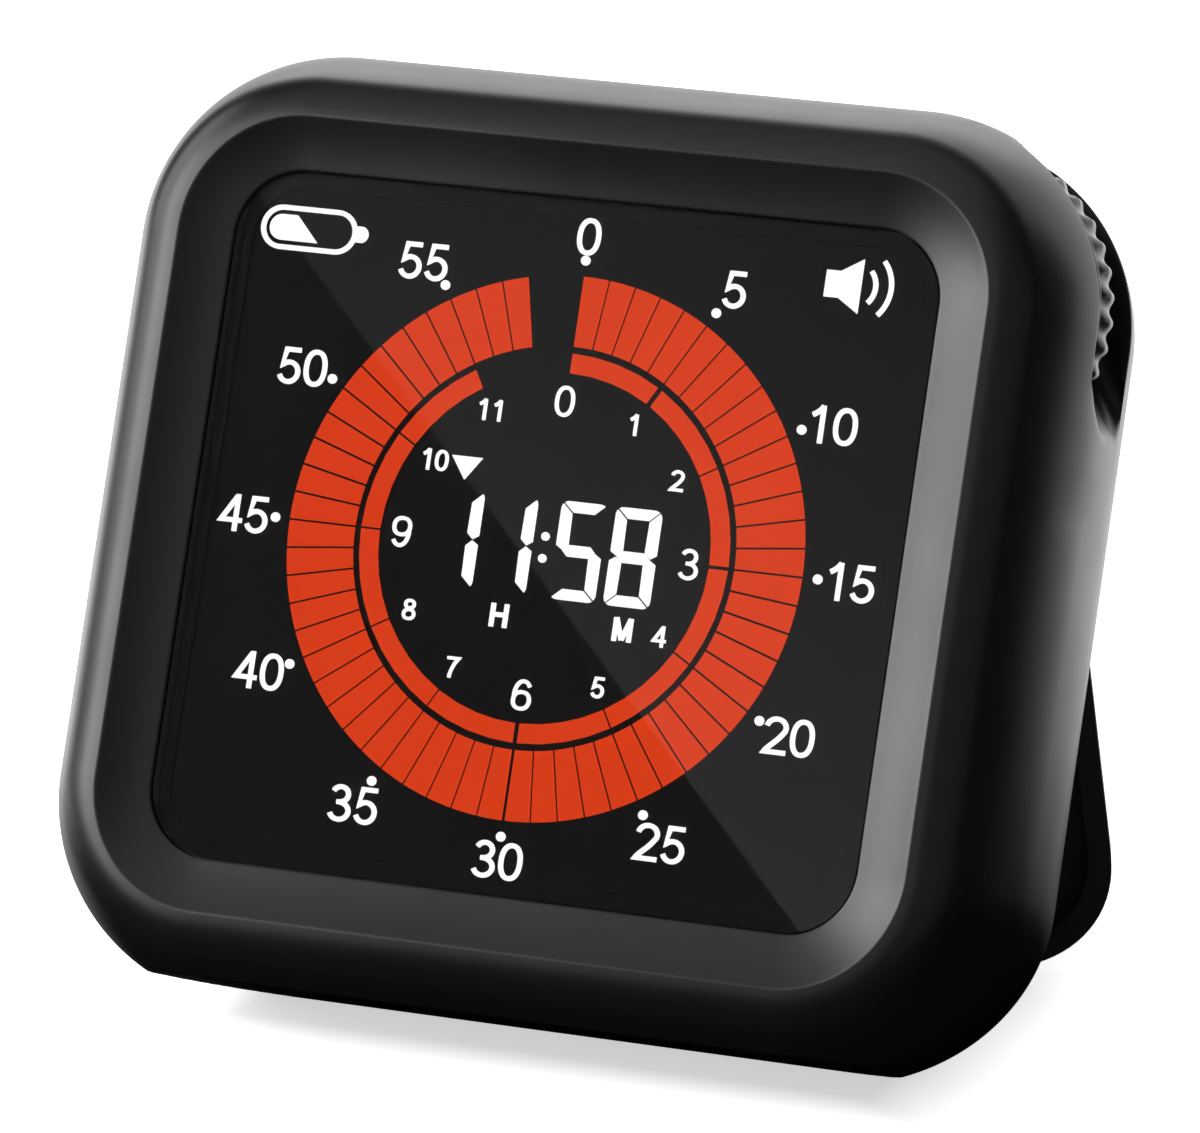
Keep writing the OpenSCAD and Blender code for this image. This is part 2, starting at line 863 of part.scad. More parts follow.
// Slider of the volume switch, held under the cover by its foot
module volume_slider() {
    color("#303033")
        placed() {
            block([key_x, key_y], [slider_w + 2.4, slider_h + 2], cover_front - 0.7, cover_front - 0.1);
            block([key_x, key_y], [slider_w, slider_h], cover_front - 0.3, back_depth - key_sink);
        }
}

// Push switch under the mode button
module mode_switch() {
    color("#c9c9c4")
        placed() {
            block([-key_x, key_y], [push_switch, push_switch], rear_board_back, cover_front - 1);
            rod([-key_x, key_y], push_stem_r, rear_board_back, cover_front + 0.2 - button_travel);
        }
}

// Mode button, held in the cover by its flange
module mode_button() {
    color("#303033")
        placed() {
            rod([-key_x, key_y], button_r + 1, cover_front + 0.3, button_seat - 0.1);
            rod([-key_x, key_y], button_r, cover_front + 0.3, back_depth - key_sink);
        }
}

// Foam that holds the battery on the cover
module battery_pad() {
    color("#3c3c3c")
        placed()
            block(battery_at, [battery_w - 4, battery_h - 4], cover_front - 0.5, cover_front);
}
battery_at = [-8, -16];

// Rechargeable cell
module battery_cell() {
    color("#9aa4ad")
        placed()
            block(battery_at, [battery_w, battery_h], cover_front - 0.5 - battery_t, cover_front - 0.5);
}

// Steel pins of the stand, one in each lug
module hinge_pins() {
    color("#b9bcc0")
        placed()
            for (x = [-lug_x, lug_x])
                hinge_rod(x, lug_w + 8, pin_r);
}

// Rear stand: the lower back of the casing, swung out on its pins
module kickstand() {
    color("#161617")
        placed()
            difference() {
                translate([0, -hinge_drop, -hinge_depth])
                    rotate([stand_open, 0, 0])
                        translate([0, hinge_drop, hinge_depth])
                            stand_plate();
                under_floor();
            }
}

// The stand as it lies folded against the back
module stand_plate() {
    difference() {
        intersection() {
            casing_body(0, stand_low);
            union() {
                translate([-far / 2, -hinge_drop - far, -back_depth - 1])
                    cube([far, far, back_depth + 1 - stand_face]);
                hinge_rod(0, far, barrel_r);
                translate([-far / 2, -hinge_drop, -hinge_depth - stop_w])
                    cube([far, barrel_r, stop_w]);
            }
        }
        for (x = [-lug_x, lug_x]) {
            hinge_rod(x, lug_w + 9, pin_r + pin_clear);
            translate([x - lug_w / 2 - 0.3, -hinge_drop - barrel_r - 0.7, -far])
                cube([lug_w + 0.6, far, far]);
        }
        intersection() {
            translate([0, stand_low + corner_y, 0])
                sheet(rear_r(stand_face) - stand_rim, 0, stand_face + stand_hollow);
            translate([-far / 2, -hinge_drop - 4 - far, -far])
                cube([far, far, far]);
        }
    }
}

front_housing();
lens_tape();
display_lens();
ring_segments();
time_digits();
minute_dots();
lcd_panel();
light_guide();
display_tray();
main_board();
board_screws();
controller_chip();
encoder_base();
press_switch();
wheel_carriage();
thumb_wheel();
wheel_screw();
usb_socket();
rear_cover();
case_screws();
magnets();
buzzer();
rear_board();
rear_board_screws();
volume_switch();
volume_slider();
mode_switch();
mode_button();
battery_pad();
battery_cell();
hinge_pins();
kickstand();
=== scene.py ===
import json
import bmesh
import bpy
import numpy as np
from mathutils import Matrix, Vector


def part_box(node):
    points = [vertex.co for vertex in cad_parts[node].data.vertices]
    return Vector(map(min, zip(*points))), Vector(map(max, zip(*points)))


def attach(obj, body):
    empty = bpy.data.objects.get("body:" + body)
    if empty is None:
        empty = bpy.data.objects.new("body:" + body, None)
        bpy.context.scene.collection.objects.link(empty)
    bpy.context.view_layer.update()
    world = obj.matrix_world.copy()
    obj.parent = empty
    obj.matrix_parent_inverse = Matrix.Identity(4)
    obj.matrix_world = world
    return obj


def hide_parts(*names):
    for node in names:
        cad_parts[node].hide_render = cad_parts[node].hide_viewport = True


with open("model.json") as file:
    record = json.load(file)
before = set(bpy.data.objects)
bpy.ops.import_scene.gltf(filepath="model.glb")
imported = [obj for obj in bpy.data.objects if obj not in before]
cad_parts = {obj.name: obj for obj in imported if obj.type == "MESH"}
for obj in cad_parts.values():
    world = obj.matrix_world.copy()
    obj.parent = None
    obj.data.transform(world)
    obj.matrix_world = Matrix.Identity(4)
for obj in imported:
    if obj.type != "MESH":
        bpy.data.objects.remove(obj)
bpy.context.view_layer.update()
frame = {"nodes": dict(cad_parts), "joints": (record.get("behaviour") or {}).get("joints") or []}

# Front housing: the one-piece shell of the front and sides, with the window, the thumb scoop
# for the wheel and the charging port. Black ABS, injection moulded in a spark-eroded tool that
# leaves a fine satin grain; the rear cover closes it from behind.
lean = np.arcsin(next(j for j in frame["joints"] if j["name"] == "wheel_spin")["axis"][2])
facing = np.array([0, -np.cos(lean), np.sin(lean)])
lens_mid_z = 0.05
lens_low, lens_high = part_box("display_lens")
display_centre = 500 * np.array(lens_low + lens_high) - lens_mid_z * facing


def placed(points):
    """Casing millimetres (x right, y up the casing, z out of the display) to frame metres: a turn
    by the lean about x, then a shift to the display's centre."""
    x, y, z = np.moveaxis(np.asarray(points, float), -1, 0)
    turned = np.stack([x, y * np.sin(lean) - z * np.cos(lean), y * np.cos(lean) + z * np.sin(lean)], -1)
    return (turned + display_centre) / 1000


def signed(points, faces):
    """Six times the volume that faces of one size enclose, as a sum of triple products over each
    face's fan: above zero where they face outward."""
    first = points[faces[:, :1]]
    return (first * np.cross(points[faces[:, 1:-1]], points[faces[:, 2:]])).sum()


def solid(name, points, faces, edge=35, floor=None):
    """Closed mesh from casing points and face index arrays, one array per face size, turned to face
    outward. Edges sharper than edge degrees stay crisp; with floor, nothing goes below that height."""
    spots = placed(points)
    if floor is not None:
        spots[:, 2] = np.maximum(spots[:, 2], floor)
    if sum(signed(spots, f) for f in faces) < 0:
        faces = [f[:, ::-1] for f in faces]
    mesh = bpy.data.meshes.new(name)
    mesh.vertices.add(len(spots))
    mesh.vertices.foreach_set("co", spots.ravel())
    sizes = np.concatenate([np.full(len(f), f.shape[1]) for f in faces])
    mesh.loops.add(int(sizes.sum()))
    mesh.loops.foreach_set("vertex_index", np.concatenate([f.ravel() for f in faces]).astype(np.int32))
    mesh.polygons.add(len(sizes))
    mesh.polygons.foreach_set("loop_start", (np.cumsum(sizes) - sizes).astype(np.int32))
    mesh.update(calc_edges=True)
    mesh.shade_smooth()
    mesh.set_sharp_from_angle(angle=np.radians(edge))
    return mesh


def quads(rows, cols, wrap_rows=False, wrap_cols=False):
    """Index quads of a grid that is numbered row by row; a wrapped direction joins its last line
    to its first."""
    i = np.arange(rows if wrap_rows else rows - 1)[:, None]
    j = np.arange(cols if wrap_cols else cols - 1)[None, :]
    down, along = (i + 1) % rows, (j + 1) % cols
    corners = [i * cols + j, down * cols + j, down * cols + along, i * cols + along]
    return np.stack(corners, -1).reshape(-1, 4)


def linked(name, data):
    """New object of this data, in the scene."""
    thing = bpy.data.objects.new(name, data)
    bpy.context.scene.collection.objects.link(thing)
    return thing


def fit(name, mesh, material, body, replaced=None):
    """Adds a finished piece: it rides on its body and may replace a node."""
    piece = linked(name, mesh)
    mesh.materials.append(material)
    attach(piece, body)
    if replaced:
        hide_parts(replaced)
    return piece


def linear(code):
    """sRGB hex to linear RGBA."""
    s = np.array([int(code[i:i + 2], 16) for i in (1, 3, 5)]) / 255
    return (*np.where(s <= 0.04045, s / 12.92, ((s + 0.055) / 1.055) ** 2.4).tolist(), 1.0)


def add(tree, kind, inputs={}, **settings):
    """Adds a shader node with its settings; an input given a socket is linked, others are set."""
    node = tree.nodes.new("ShaderNode" + kind)
    for key, value in settings.items():
        setattr(node, key, value)
    for key, value in inputs.items():
        if isinstance(value, bpy.types.NodeSocket):
            tree.links.new(value, node.inputs[key])
        else:
            node.inputs[key].default_value = value
    return node


def finish(name):
    """New empty material, its node tree and its Object coordinates."""
    material = bpy.data.materials.new(name)
    material.use_nodes = True
    material.node_tree.nodes.clear()
    where = add(material.node_tree, "TexCoord").outputs["Object"]
    return material, material.node_tree, where


def moulded(name, dark, light, roughness, grain, relief, ior=1.5):
    """Moulded plastic: pits of the tool's grain (mm) shade the colour and, by their relief (mm),
    the gloss; a slow drift over 15 mm keeps the sheen from being even. A real tool's grain is finer
    still, so it is drawn as coarse as it needs to show."""
    material, tree, where = finish(name)
    pits = add(tree, "TexNoise", {"Vector": where, "Scale": 1000 / grain, "Detail": 3.0})
    drift = add(tree, "TexNoise", {"Vector": where, "Scale": 1000 / 15, "Detail": 2.0})
    tone = add(tree, "Mix", {0: pits.outputs["Fac"], 6: linear(dark), 7: linear(light)}, data_type="RGBA")
    sheen = add(tree, "MapRange", {
        "Value": drift.outputs["Fac"], "From Min": 0.3, "From Max": 0.7,
        "To Min": roughness - 0.03, "To Max": roughness + 0.03})
    bump = add(tree, "Bump", {"Height": pits.outputs["Fac"], "Strength": 0.3, "Distance": relief / 1000})
    skin = add(tree, "BsdfPrincipled", {
        "Base Color": tone.outputs[2], "Roughness": sheen.outputs[0], "Normal": bump.outputs[0],
        "IOR": ior})
    add(tree, "OutputMaterial", {"Surface": skin.outputs[0]})
    return material


# Sizes of the casing's edge, seen in section from a corner centre outwards
corner_x, corner_y = 26.4, 24.1
widest_r, widest_d = 17.9, 10.5
crest_r, crest_z, crest_round = 10.9, 1.95, 4.6
front_round = ((widest_r - crest_r) ** 2 + (widest_d + crest_z - crest_round) ** 2 - crest_round ** 2) \
    / (2 * (widest_r - crest_r - crest_round))
back_r, back_d, back_round = 12.4, 30.0, 2.3
rear_round = ((widest_r - back_r) ** 2 + (back_d - widest_d - back_round) ** 2 - back_round ** 2) \
    / (2 * (widest_r - back_r - back_round))
split_d, wall, base_drop = 26.7, 2.0, 40.2
window_r, ledge_r, ledge_z, ledge_back = 6.1, 4.6, -0.5, -1.4
bezel_r, bezel_z, bezel_w, bezel_rise, bezel_bend, bezel_wall = 6.3, 0.68, 4.33, 1.24, 0.34, 2.02
crease_mid, crease_end, crest_from = np.array([10.8, 1.985]), np.array([10.98, 1.967]), np.radians(84)
slot_front, slot_back, scoop_back, scoop_wall = 7.8, 14.2, 19.5, 1.6
scoop_at, scoop_r, scoop_fillet, scoop_soft = np.array([101.33, 56.3]), 70.0, 2.0, 0.3
bowl_d, bowl_rise, lip_limit, lip_blend, lip_fade = 15.0, 0.056, 13.4, 1.5, 3.0
wheel_at, wheel_room = np.array([29.0, 25.4]), 15.5
port_y, port_d, port_half, port_r, port_bevel = -19.0, 8.2, 2.85, 1.9, 0.18
port_block = np.array([4.9, 2.1])


def side_r(depth):
    """Corner radius of the outer skin at a depth: one arc before the widest line, one behind."""
    bulge = np.where(depth < widest_d, front_round, rear_round)
    return widest_r - bulge + np.sqrt(bulge ** 2 - (depth - widest_d) ** 2)


def casing_path():
    """Closed path round the casing, as base points on the core rectangle and outward directions:
    straight sides with a fixed direction, corners with a fixed base, finer at the scoop and port."""
    up = np.r_[np.linspace(-corner_y, 12.5, 16), np.arange(12.75, corner_y, 0.2)]
    turn = np.r_[np.arange(0, 72, 0.8), np.arange(72, 90, 2)]
    across = np.linspace(corner_x, -corner_x, 12)[:-1]
    down = np.r_[np.linspace(corner_y, -13.0, 12), np.linspace(-13.6, -23.9, 26)]
    even = np.arange(0, 90, 2)
    base, angle = [], []
    for x, y, a in [
            (corner_x, up, 0), (corner_x, corner_y, turn), (across, corner_y, 90),
            (-corner_x, corner_y, 90 + even), (-corner_x, down, 180), (-corner_x, -corner_y, 180 + even),
            (-across, -corner_y, 270), (corner_x, -corner_y, 270 + even)]:
        x, y, a = np.broadcast_arrays(x, y, a)
        base.append(np.stack([x, y], -1).astype(float))
        angle.append(a.astype(float))
    angle = np.radians(np.concatenate(angle))
    return np.vstack(base), np.stack([np.cos(angle), np.sin(angle)], -1)


def reach(base, out, centre, radius, far):
    """Distance from each base point along its direction to a circle, by the quadratic's near or
    far root; where the line misses the circle, a distance that never counts."""
    back = ((base - centre) * out).sum(-1)
    free = back ** 2 - ((base - centre) ** 2).sum(-1) + radius ** 2
    hit = -back + np.sqrt(np.maximum(free, 0)) * (1 if far else -1)
    return np.where((free > 0) & (back < 0), hit, 0.0 if far else 1e3)


def front_rows():
    """Outer and inner section of the front, from the lens ledge over the sloped bezel and its
    crest to the side: lines, a slope that steepens outwards, a soft crease and the crest's arc."""
    t = np.linspace(0, 1, 14)
    rise = bezel_rise * ((1 - bezel_bend) * t + bezel_bend * t ** 2)
    slope = np.stack([bezel_r + bezel_w * t, bezel_z + rise], -1)
    s = np.linspace(0, 1, 7)[1:, None]
    crease = (1 - s) ** 2 * slope[-1] + 2 * s * (1 - s) * crease_mid + s ** 2 * crease_end
    low = np.arctan2(crest_z - crest_round + widest_d, crest_r - widest_r + front_round)
    a = np.linspace(crest_from, low, 18)
    ring = np.stack([np.cos(a), np.sin(a)], -1)
    middle = np.array([crest_r, crest_z - crest_round])
    lip = np.array([[ledge_r, ledge_z], [5.4, ledge_z], [window_r, ledge_z], [window_r, 0.2],
                    [window_r, 0.52], [6.13, 0.61], [6.2, 0.655]])
    outer = np.vstack([lip, slope, crease, middle + crest_round * ring])
    under = lip * [1, 0] + [0, ledge_back]
    under[3:, 0] += np.array([0.05, 0.1, 0.15, 0.2])
    inner = np.vstack([under, slope - [0, bezel_wall], crease - [0, wall],
                       middle + (crest_round - wall) * ring])
    return outer, inner


def housing_shell():
    """The shell as one closed grid: the section carried round the path, with the wall's inner skin
    behind it. In the scoop the skin is drawn in to a cylinder that rises in front by a square law,
    so that the scoop's front edge swings back at both ends. A soft minimum joins the two, with a
    fillet at the rear wall. Over the wheel and in the port the cells are left out, and the skins
    are joined round each hole."""
    base, out = casing_path()
    outer_f, inner_f = front_rows()
    n, nf = len(base), len(outer_f)

    # Rows of the side: depth on the plain skin, depth in the scoop, share of the way to its floor
    plain_from, lip_from, lip_to, slot_to = 3.2, slot_front - 0.4, slot_front + 0.16, slot_back - 0.06
    d = np.r_[np.linspace(0.4, 2.4, 5), 2.51, np.linspace(plain_from, slot_front - 0.6, 10)]
    rows = [np.stack([d, d, np.zeros(len(d))], -1)]
    lip = [[-0.4, -0.4, 0], [-0.28, -0.22, 0], [-0.18, -0.1, 0.01], [-0.08, -0.03, 0.03], [0, 0, 0.08],
           [0.08, 0, 0.5]]
    rows.append(np.array(lip) + [slot_front, slot_front, 0])
    edge_front = nf + sum(map(len, rows))
    d = np.r_[lip_to, np.linspace(slot_front + 0.4, slot_back - 0.2, 20), slot_to]
    rows.append(np.stack([d, np.r_[slot_front, d[1:-1], slot_back], np.ones(len(d))], -1))
    edge_rear = nf + sum(map(len, rows))
    d = np.r_[slot_back + 0.06, np.linspace(slot_back + 0.25, scoop_back - 0.2, 32), scoop_back - 0.08]
    rows.append(np.stack([d, np.r_[slot_back, d[1:-1], scoop_back], np.ones(len(d))], -1))
    brink = [[0, 0, 0.5], [0.06, 0, 0.08], [0.12, 0.03, 0.03], [0.2, 0.12, 0.01], [0.3, 0.25, 0]]
    rows.append(np.array(brink) + [scoop_back, scoop_back, 0])
    scoop_end = nf + sum(map(len, rows))
    d = np.r_[20.0, np.linspace(20.5, 23.3, 5), 23.81, np.linspace(24.4, 26.3, 5), split_d - 0.2,
              split_d - 0.08]
    rows.append(np.stack([d, d, np.zeros(len(d))], -1))
    plain_d, scoop_d, share = np.vstack(rows).T
    ns = len(plain_d)

    floor_r = reach(base, out, scoop_at, scoop_r, False)
    rim_r = reach(base, out, wheel_at, wheel_room, True)
    depth = side_r(widest_d) - floor_r
    open_ = np.clip(depth / 0.6, 0, 1)[:, None]
    lip_d = np.clip(bowl_d - np.sqrt(np.maximum(depth, 0) / bowl_rise), slot_front, lip_limit)
    swing = (lip_d - slot_front) * np.clip(2 + depth / lip_fade, 0, 1)
    moved = np.interp(plain_d, [plain_from, lip_from, lip_to, slot_to], [0, 1, 1, 0])
    d = plain_d + (scoop_d - plain_d) * open_ + swing[:, None] * moved
    skin = side_r(d)
    lift = np.clip(d - (scoop_back - scoop_fillet), 0, scoop_fillet)
    ramp = floor_r[:, None] + scoop_fillet - np.sqrt(scoop_fillet ** 2 - lift ** 2)
    ramp = ramp + bowl_rise * np.maximum(bowl_d - d, 0) ** 2
    floor = 0.5 * (skin + ramp - np.sqrt((skin - ramp) ** 2 + scoop_soft ** 2))
    floor = np.where(skin - ramp < -6 * scoop_soft, skin, floor)
    thinnest, room_gap = 0.1, 0.05
    lining = np.minimum(np.maximum(skin - wall, rim_r[:, None]), skin - thinnest)
    side = np.arange(ns) + nf
    in_slot = (side >= edge_front) & (side < edge_rear)
    floor = np.where(in_slot, np.maximum(floor, lining + room_gap), floor)
    early = np.interp(plain_d, [plain_from, lip_from, slot_to, slot_back], [0, 1, 1, 0])
    early = early * np.clip(swing / lip_blend, 0, 1)[:, None]
    r_out = skin - np.maximum(share, early) * (skin - floor)

    # Inner skin: behind the scoop's floor and rear wall by the scoop's own wall
    rear = (side >= edge_rear) & (side < scoop_end)
    lining_back, brink_d = scoop_back + scoop_wall, scoop_back + 0.3
    stretch = (lining_back - slot_back) / (scoop_back - slot_back)
    deep = np.where(d < slot_back, d, slot_back + (d - slot_back) * stretch)
    past = (d - brink_d) / (split_d - brink_d)
    deep = np.where(side >= scoop_end, lining_back + 0.2 + past * (split_d - lining_back - 0.2), deep)
    deep = np.where((d >= scoop_back - 0.12) & rear, lining_back + 0.002 * (side - edge_rear), deep)
    in_room = in_slot | ((side < edge_front) & (d > slot_front))
    r_in = np.where(in_room, lining, side_r(deep) - wall)
    r_in = np.where(rear, np.minimum(side_r(deep) - wall, r_out - scoop_wall), r_in)

    def swept(front, side_radius, side_depth, lowest):
        """Points of a skin: radius and depth along the section, carried round the path."""
        r = np.concatenate([np.broadcast_to(front[:, 0], (n, nf)), side_radius], 1)
        z = np.concatenate([np.broadcast_to(front[:, 1], (n, nf)), -side_depth], 1)
        xy = base[:, None] + r[..., None] * out[:, None]
        xy[..., 1] = np.maximum(xy[..., 1], lowest)
        return np.concatenate([xy, z[..., None]], -1)

    grown = lambda a, v: np.concatenate([a, np.full((n, 1), v)], 1)
    split_out, split_in = side_r(split_d - 0.02) - 0.12, side_r(split_d) - wall
    outer = swept(outer_f, grown(r_out, split_out), grown(d, split_d), -base_drop)
    inner = swept(inner_f, grown(r_in, split_in), grown(deep, split_d), wall - base_drop)
    m = nf + ns + 1
    points = np.vstack([outer.reshape(-1, 3), inner.reshape(-1, 3)])

    # Cells to leave out: over the wheel, and round the port
    mid_r = side_r(10.0)
    hole_r = np.maximum(mid_r - wall, rim_r) + room_gap
    wheel_cols = np.flatnonzero(floor_r < np.minimum(hole_r, mid_r - 0.5))
    first_col, last_col = wheel_cols[0] - 1, wheel_cols[-1] + 1
    port_cols = np.flatnonzero((out[:, 0] < -0.99) & (np.abs(base[:, 1] - port_y) < port_block[0]))
    port_rows = nf + np.flatnonzero(np.abs(plain_d - port_d) < port_block[1])
    keep = np.ones((n, m - 1), bool)
    keep[first_col:last_col, edge_front:edge_rear] = False
    keep[port_cols[0]:port_cols[-1], port_rows[0]:port_rows[-1]] = False
    skin_faces = quads(n, m, wrap_rows=True)[keep.ravel()]

    def border(c0, c1, v0, v1):
        """Grid numbers round a block of cells, in order."""
        c, v = np.arange(c0, c1), np.arange(v0, v1)
        return np.concatenate([c * m + v0, c1 * m + v, c[::-1] * m + m + v1, c0 * m + v[::-1] + 1])

    def strip(a, b):
        """Quads between two rings of points."""
        return np.stack([a, np.roll(a, -1), np.roll(b, -1), b], -1)

    slot_rim = border(first_col, last_col, edge_front, edge_rear)
    port_rim = border(port_cols[0], port_cols[-1], port_rows[0], port_rows[-1])
    count = n * m

    # Port: rays from its middle meet a slot with round ends, on the outer skin and behind it
    way = np.stack([points[port_rim, 1] - port_y, -points[port_rim, 2] - port_d], -1)
    way /= np.linalg.norm(way, axis=1)[:, None]
    flat = port_r / np.maximum(np.abs(way[:, 1]), 1e-6)
    ends = port_half * np.abs(way[:, 0])
    ends = ends + np.sqrt(np.maximum(ends ** 2 - port_half ** 2 + port_r ** 2, 0))
    size = np.where(flat * np.abs(way[:, 0]) <= port_half, flat, ends)[:, None]
    loops = []
    for grow, sink in [(port_bevel, 0.0), (0.0, port_bevel), (0.0, wall)]:
        yd = way * (size + grow) + [port_y, port_d]
        loops.append(np.stack([-corner_x - side_r(yd[:, 1]) + sink, yd[:, 0], -yd[:, 1]], -1))
    start = len(points)
    points = np.vstack([points] + loops)
    k = len(port_rim)
    mouth = [start + i * k + np.arange(k) for i in range(3)]
    faces = [
        skin_faces, skin_faces[:, ::-1] + count,
        strip(np.arange(n) * m, np.arange(n) * m + count)[:, ::-1],
        strip(np.arange(n) * m + m - 1, np.arange(n) * m + m - 1 + count),
        strip(slot_rim, slot_rim + count),
        strip(port_rim, mouth[0]), strip(mouth[0], mouth[1]), strip(mouth[1], mouth[2]),
        strip(mouth[2], port_rim + count)]
    return points, [np.vstack(faces)]


satin_abs = moulded("satin_black_abs", "#0F0F10", "#151517", 0.34, 0.22, 0.012)
fit("housing_shell", solid("housing_shell", *housing_shell(), edge=32, floor=0.0), satin_abs,
    "casing", "front_housing")

# Lens and its adhesive frame: a flat sheet of clear acrylic in the window, polished, with the
# faint haze of handling; black double-sided film holds it on the housing's ledge.
acrylic, tree, where = finish("polished_clear_acrylic")
haze = add(tree, "TexNoise", {"Vector": where, "Scale": 1000 / 9, "Detail": 4.0})
film = add(tree, "MapRange", {
    "Value": haze.outputs["Fac"], "From Min": 0.45, "From Max": 0.8, "To Min": 0.0, "To Max": 0.03})
clear = add(tree, "BsdfPrincipled", {
    "Base Color": linear("#FAFAFA"), "Roughness": film.outputs[0], "IOR": 1.49, "Transmission Weight": 1.0})
add(tree, "OutputMaterial", {"Surface": clear.outputs[0]})


def coat(material, *nodes):
    """Gives CAD nodes their finish through their objects' material slots."""
    for name in nodes:
        for slot in frame["nodes"][name].material_slots:
            slot.material = material


coat(acrylic, "display_lens")
tape_out, tape_in, tape_z = 6.0, 4.6, (-0.37, -0.5)


def frame_ring(outer_r, inner_r, front_z, back_z):
    """Flat closed frame: a rectangle of four corners carried round the casing's path."""
    base, out = casing_path()
    r = np.array([inner_r, outer_r, outer_r, inner_r])
    z = np.array([front_z, front_z, back_z, back_z])
    xy = base[:, None] + r[None, :, None] * out[:, None]
    points = np.concatenate([xy, np.broadcast_to(z[None, :, None], (len(base), 4, 1))], -1)
    return points.reshape(-1, 3), [quads(len(base), 4, True, True)]


fit("tape_frame", solid("tape_frame", *frame_ring(tape_out, tape_in, *tape_z)),
    moulded("black_adhesive_film", "#070707", "#0D0D0D", 0.55, 0.4, 0.0, 1.2),
    "casing", "lens_tape")

# Display panel: a black liquid crystal cell right behind the lens. Its glass is near black, with
# the cell's fine grid just visible in strong light.
cell_glass, tree, where = finish("black_display_cell")
grid = add(tree, "TexVoronoi", {"Vector": where, "Scale": 1000 / 0.6, "Randomness": 0.0},
           distance="CHEBYCHEV")
tint = add(tree, "Mix", {0: grid.outputs["Distance"], 6: linear("#070707"), 7: linear("#0D0D0D")},
           data_type="RGBA")
dark = add(tree, "BsdfPrincipled", {"Base Color": tint.outputs[2], "Roughness": 0.55, "IOR": 1.2})
add(tree, "OutputMaterial", {"Surface": dark.outputs[0]})
coat(cell_glass, "lcd_panel")

# Gasket: a black foam cord in the narrow gap between the panel's edge and the opening, which keeps
# the backlight from leaking past the panel.
cord_out, cord_in, cord_z = 4.595, 4.405, (-0.56, -1.35)
fit("panel_gasket", solid("panel_gasket", *frame_ring(cord_out, cord_in, *cord_z)),
    moulded("black_foam_cord", "#070707", "#0D0D0D", 0.55, 0.4, 0.01, 1.2), "casing")

# Lit rings: the minute band of sixty segments and the hour band of twelve, printed colour film on
# the cell, lit from behind. The segments that are on run clockwise from the top.
film_front, film_back = -0.37, -0.55


def lit(name, deep, bright, patch, strength):
    """Lit film: a faint mottle of patch size (mm) from the light behind it shades its glow."""
    material, tree, where = finish(name)
    mottle = add(tree, "TexNoise", {"Vector": where, "Scale": 1000 / patch, "Detail": 2.0})
    glow = add(tree, "Mix", {0: mottle.outputs["Fac"], 6: linear(deep), 7: linear(bright)},
               data_type="RGBA")
    film = add(tree, "BsdfPrincipled", {
        "Base Color": linear("#050505"), "Roughness": 0.5, "IOR": 1.2, "Emission Color": glow.outputs[2],
        "Emission Strength": strength})
    add(tree, "OutputMaterial", {"Surface": film.outputs[0]})
    return material


def arc_cells(inner, outer, count, on, gap, wide):
    """Closed cells of a segmented band: each a grid of angle by the four corners of its section,
    drawn in at its sides by half a gap, or by half a wide one where wide says so."""
    steps = 5
    i = np.arange(on)[:, None, None]
    t = np.linspace(0, 1, steps)[None, :, None]
    r = np.array([inner, outer, outer, inner])[None, None, :]
    z = np.array([film_front, film_front, film_back, film_back])
    half = lambda at: np.array([wide.get(int(x), gap) for x in at.ravel()])[:, None, None] / 2 / r
    begin = np.radians(360 / count) * i + half(i)
    end = np.radians(360 / count) * (i + 1) - half(i + 1)
    a = begin + (end - begin) * t
    points = np.stack([r * np.sin(a), r * np.cos(a), np.broadcast_to(z, a.shape)], -1)
    cell = np.vstack([quads(steps, 4, wrap_cols=True), [0, 1, 2, 3],
                      np.array([3, 2, 1, 0]) + 4 * (steps - 1)])
    faces = (cell[None] + 4 * steps * np.arange(on)[:, None, None]).reshape(-1, 4)
    return points.reshape(-1, 3), faces


minute_r, hour_r, cell_gap = (17.5, 23.6), (15.2, 16.9), 0.19
minute_cells = arc_cells(*minute_r, 60, 58, cell_gap, {30: 0.32})
hour_cells = arc_cells(*hour_r, 12, 11, cell_gap, {1: 0.5, 3: 0.32, 6: 0.45})
orange_film = lit("lit_orange_film", "#DE3906", "#E23E09", 5.0, 1.0)
ring_points = np.vstack([minute_cells[0], hour_cells[0]])
ring_faces = np.vstack([minute_cells[1], hour_cells[1] + len(minute_cells[0])])
fit("lit_rings", solid("lit_rings", ring_points, [ring_faces]), orange_film,
    "casing", "ring_segments")

# Time digits: seven bar figures with a colon, white film on the cell. The figures' outer corners
# are rounded, and thin mitred gaps part the bars.
white_film = lit("lit_white_film", "#F6F6F4", "#FFFFFF", 4.0, 1.25)


def plates(outlines):
    """Closed plates of film from flat outlines: each outline twice, with caps and side walls."""
    points, faces, start = [], [], 0
    for line in outlines:
        k = len(line)
        line = np.asarray(line, float)
        for z in (film_front, film_back):
            points.append(np.column_stack([line, np.full(k, z)]))
        ring = np.arange(k)
        faces.append(start + quads(2, k, wrap_cols=True))
        faces.append(start + ring[None, ::-1])
        faces.append(start + k + ring[None])
        start += 2 * k
    by_size = {}
    for f in faces:
        by_size.setdefault(f.shape[1], []).append(f)
    turned = [np.vstack(v) for v in by_size.values()]
    return np.vstack(points), turned


def bow(cx, cy, rx, ry, start, stop, steps=22):
    """Points of an elliptic arc between two angles in degrees."""
    a = np.radians(np.linspace(start, stop, steps))
    return np.stack([cx + rx * np.cos(a), cy + ry * np.sin(a)], -1)


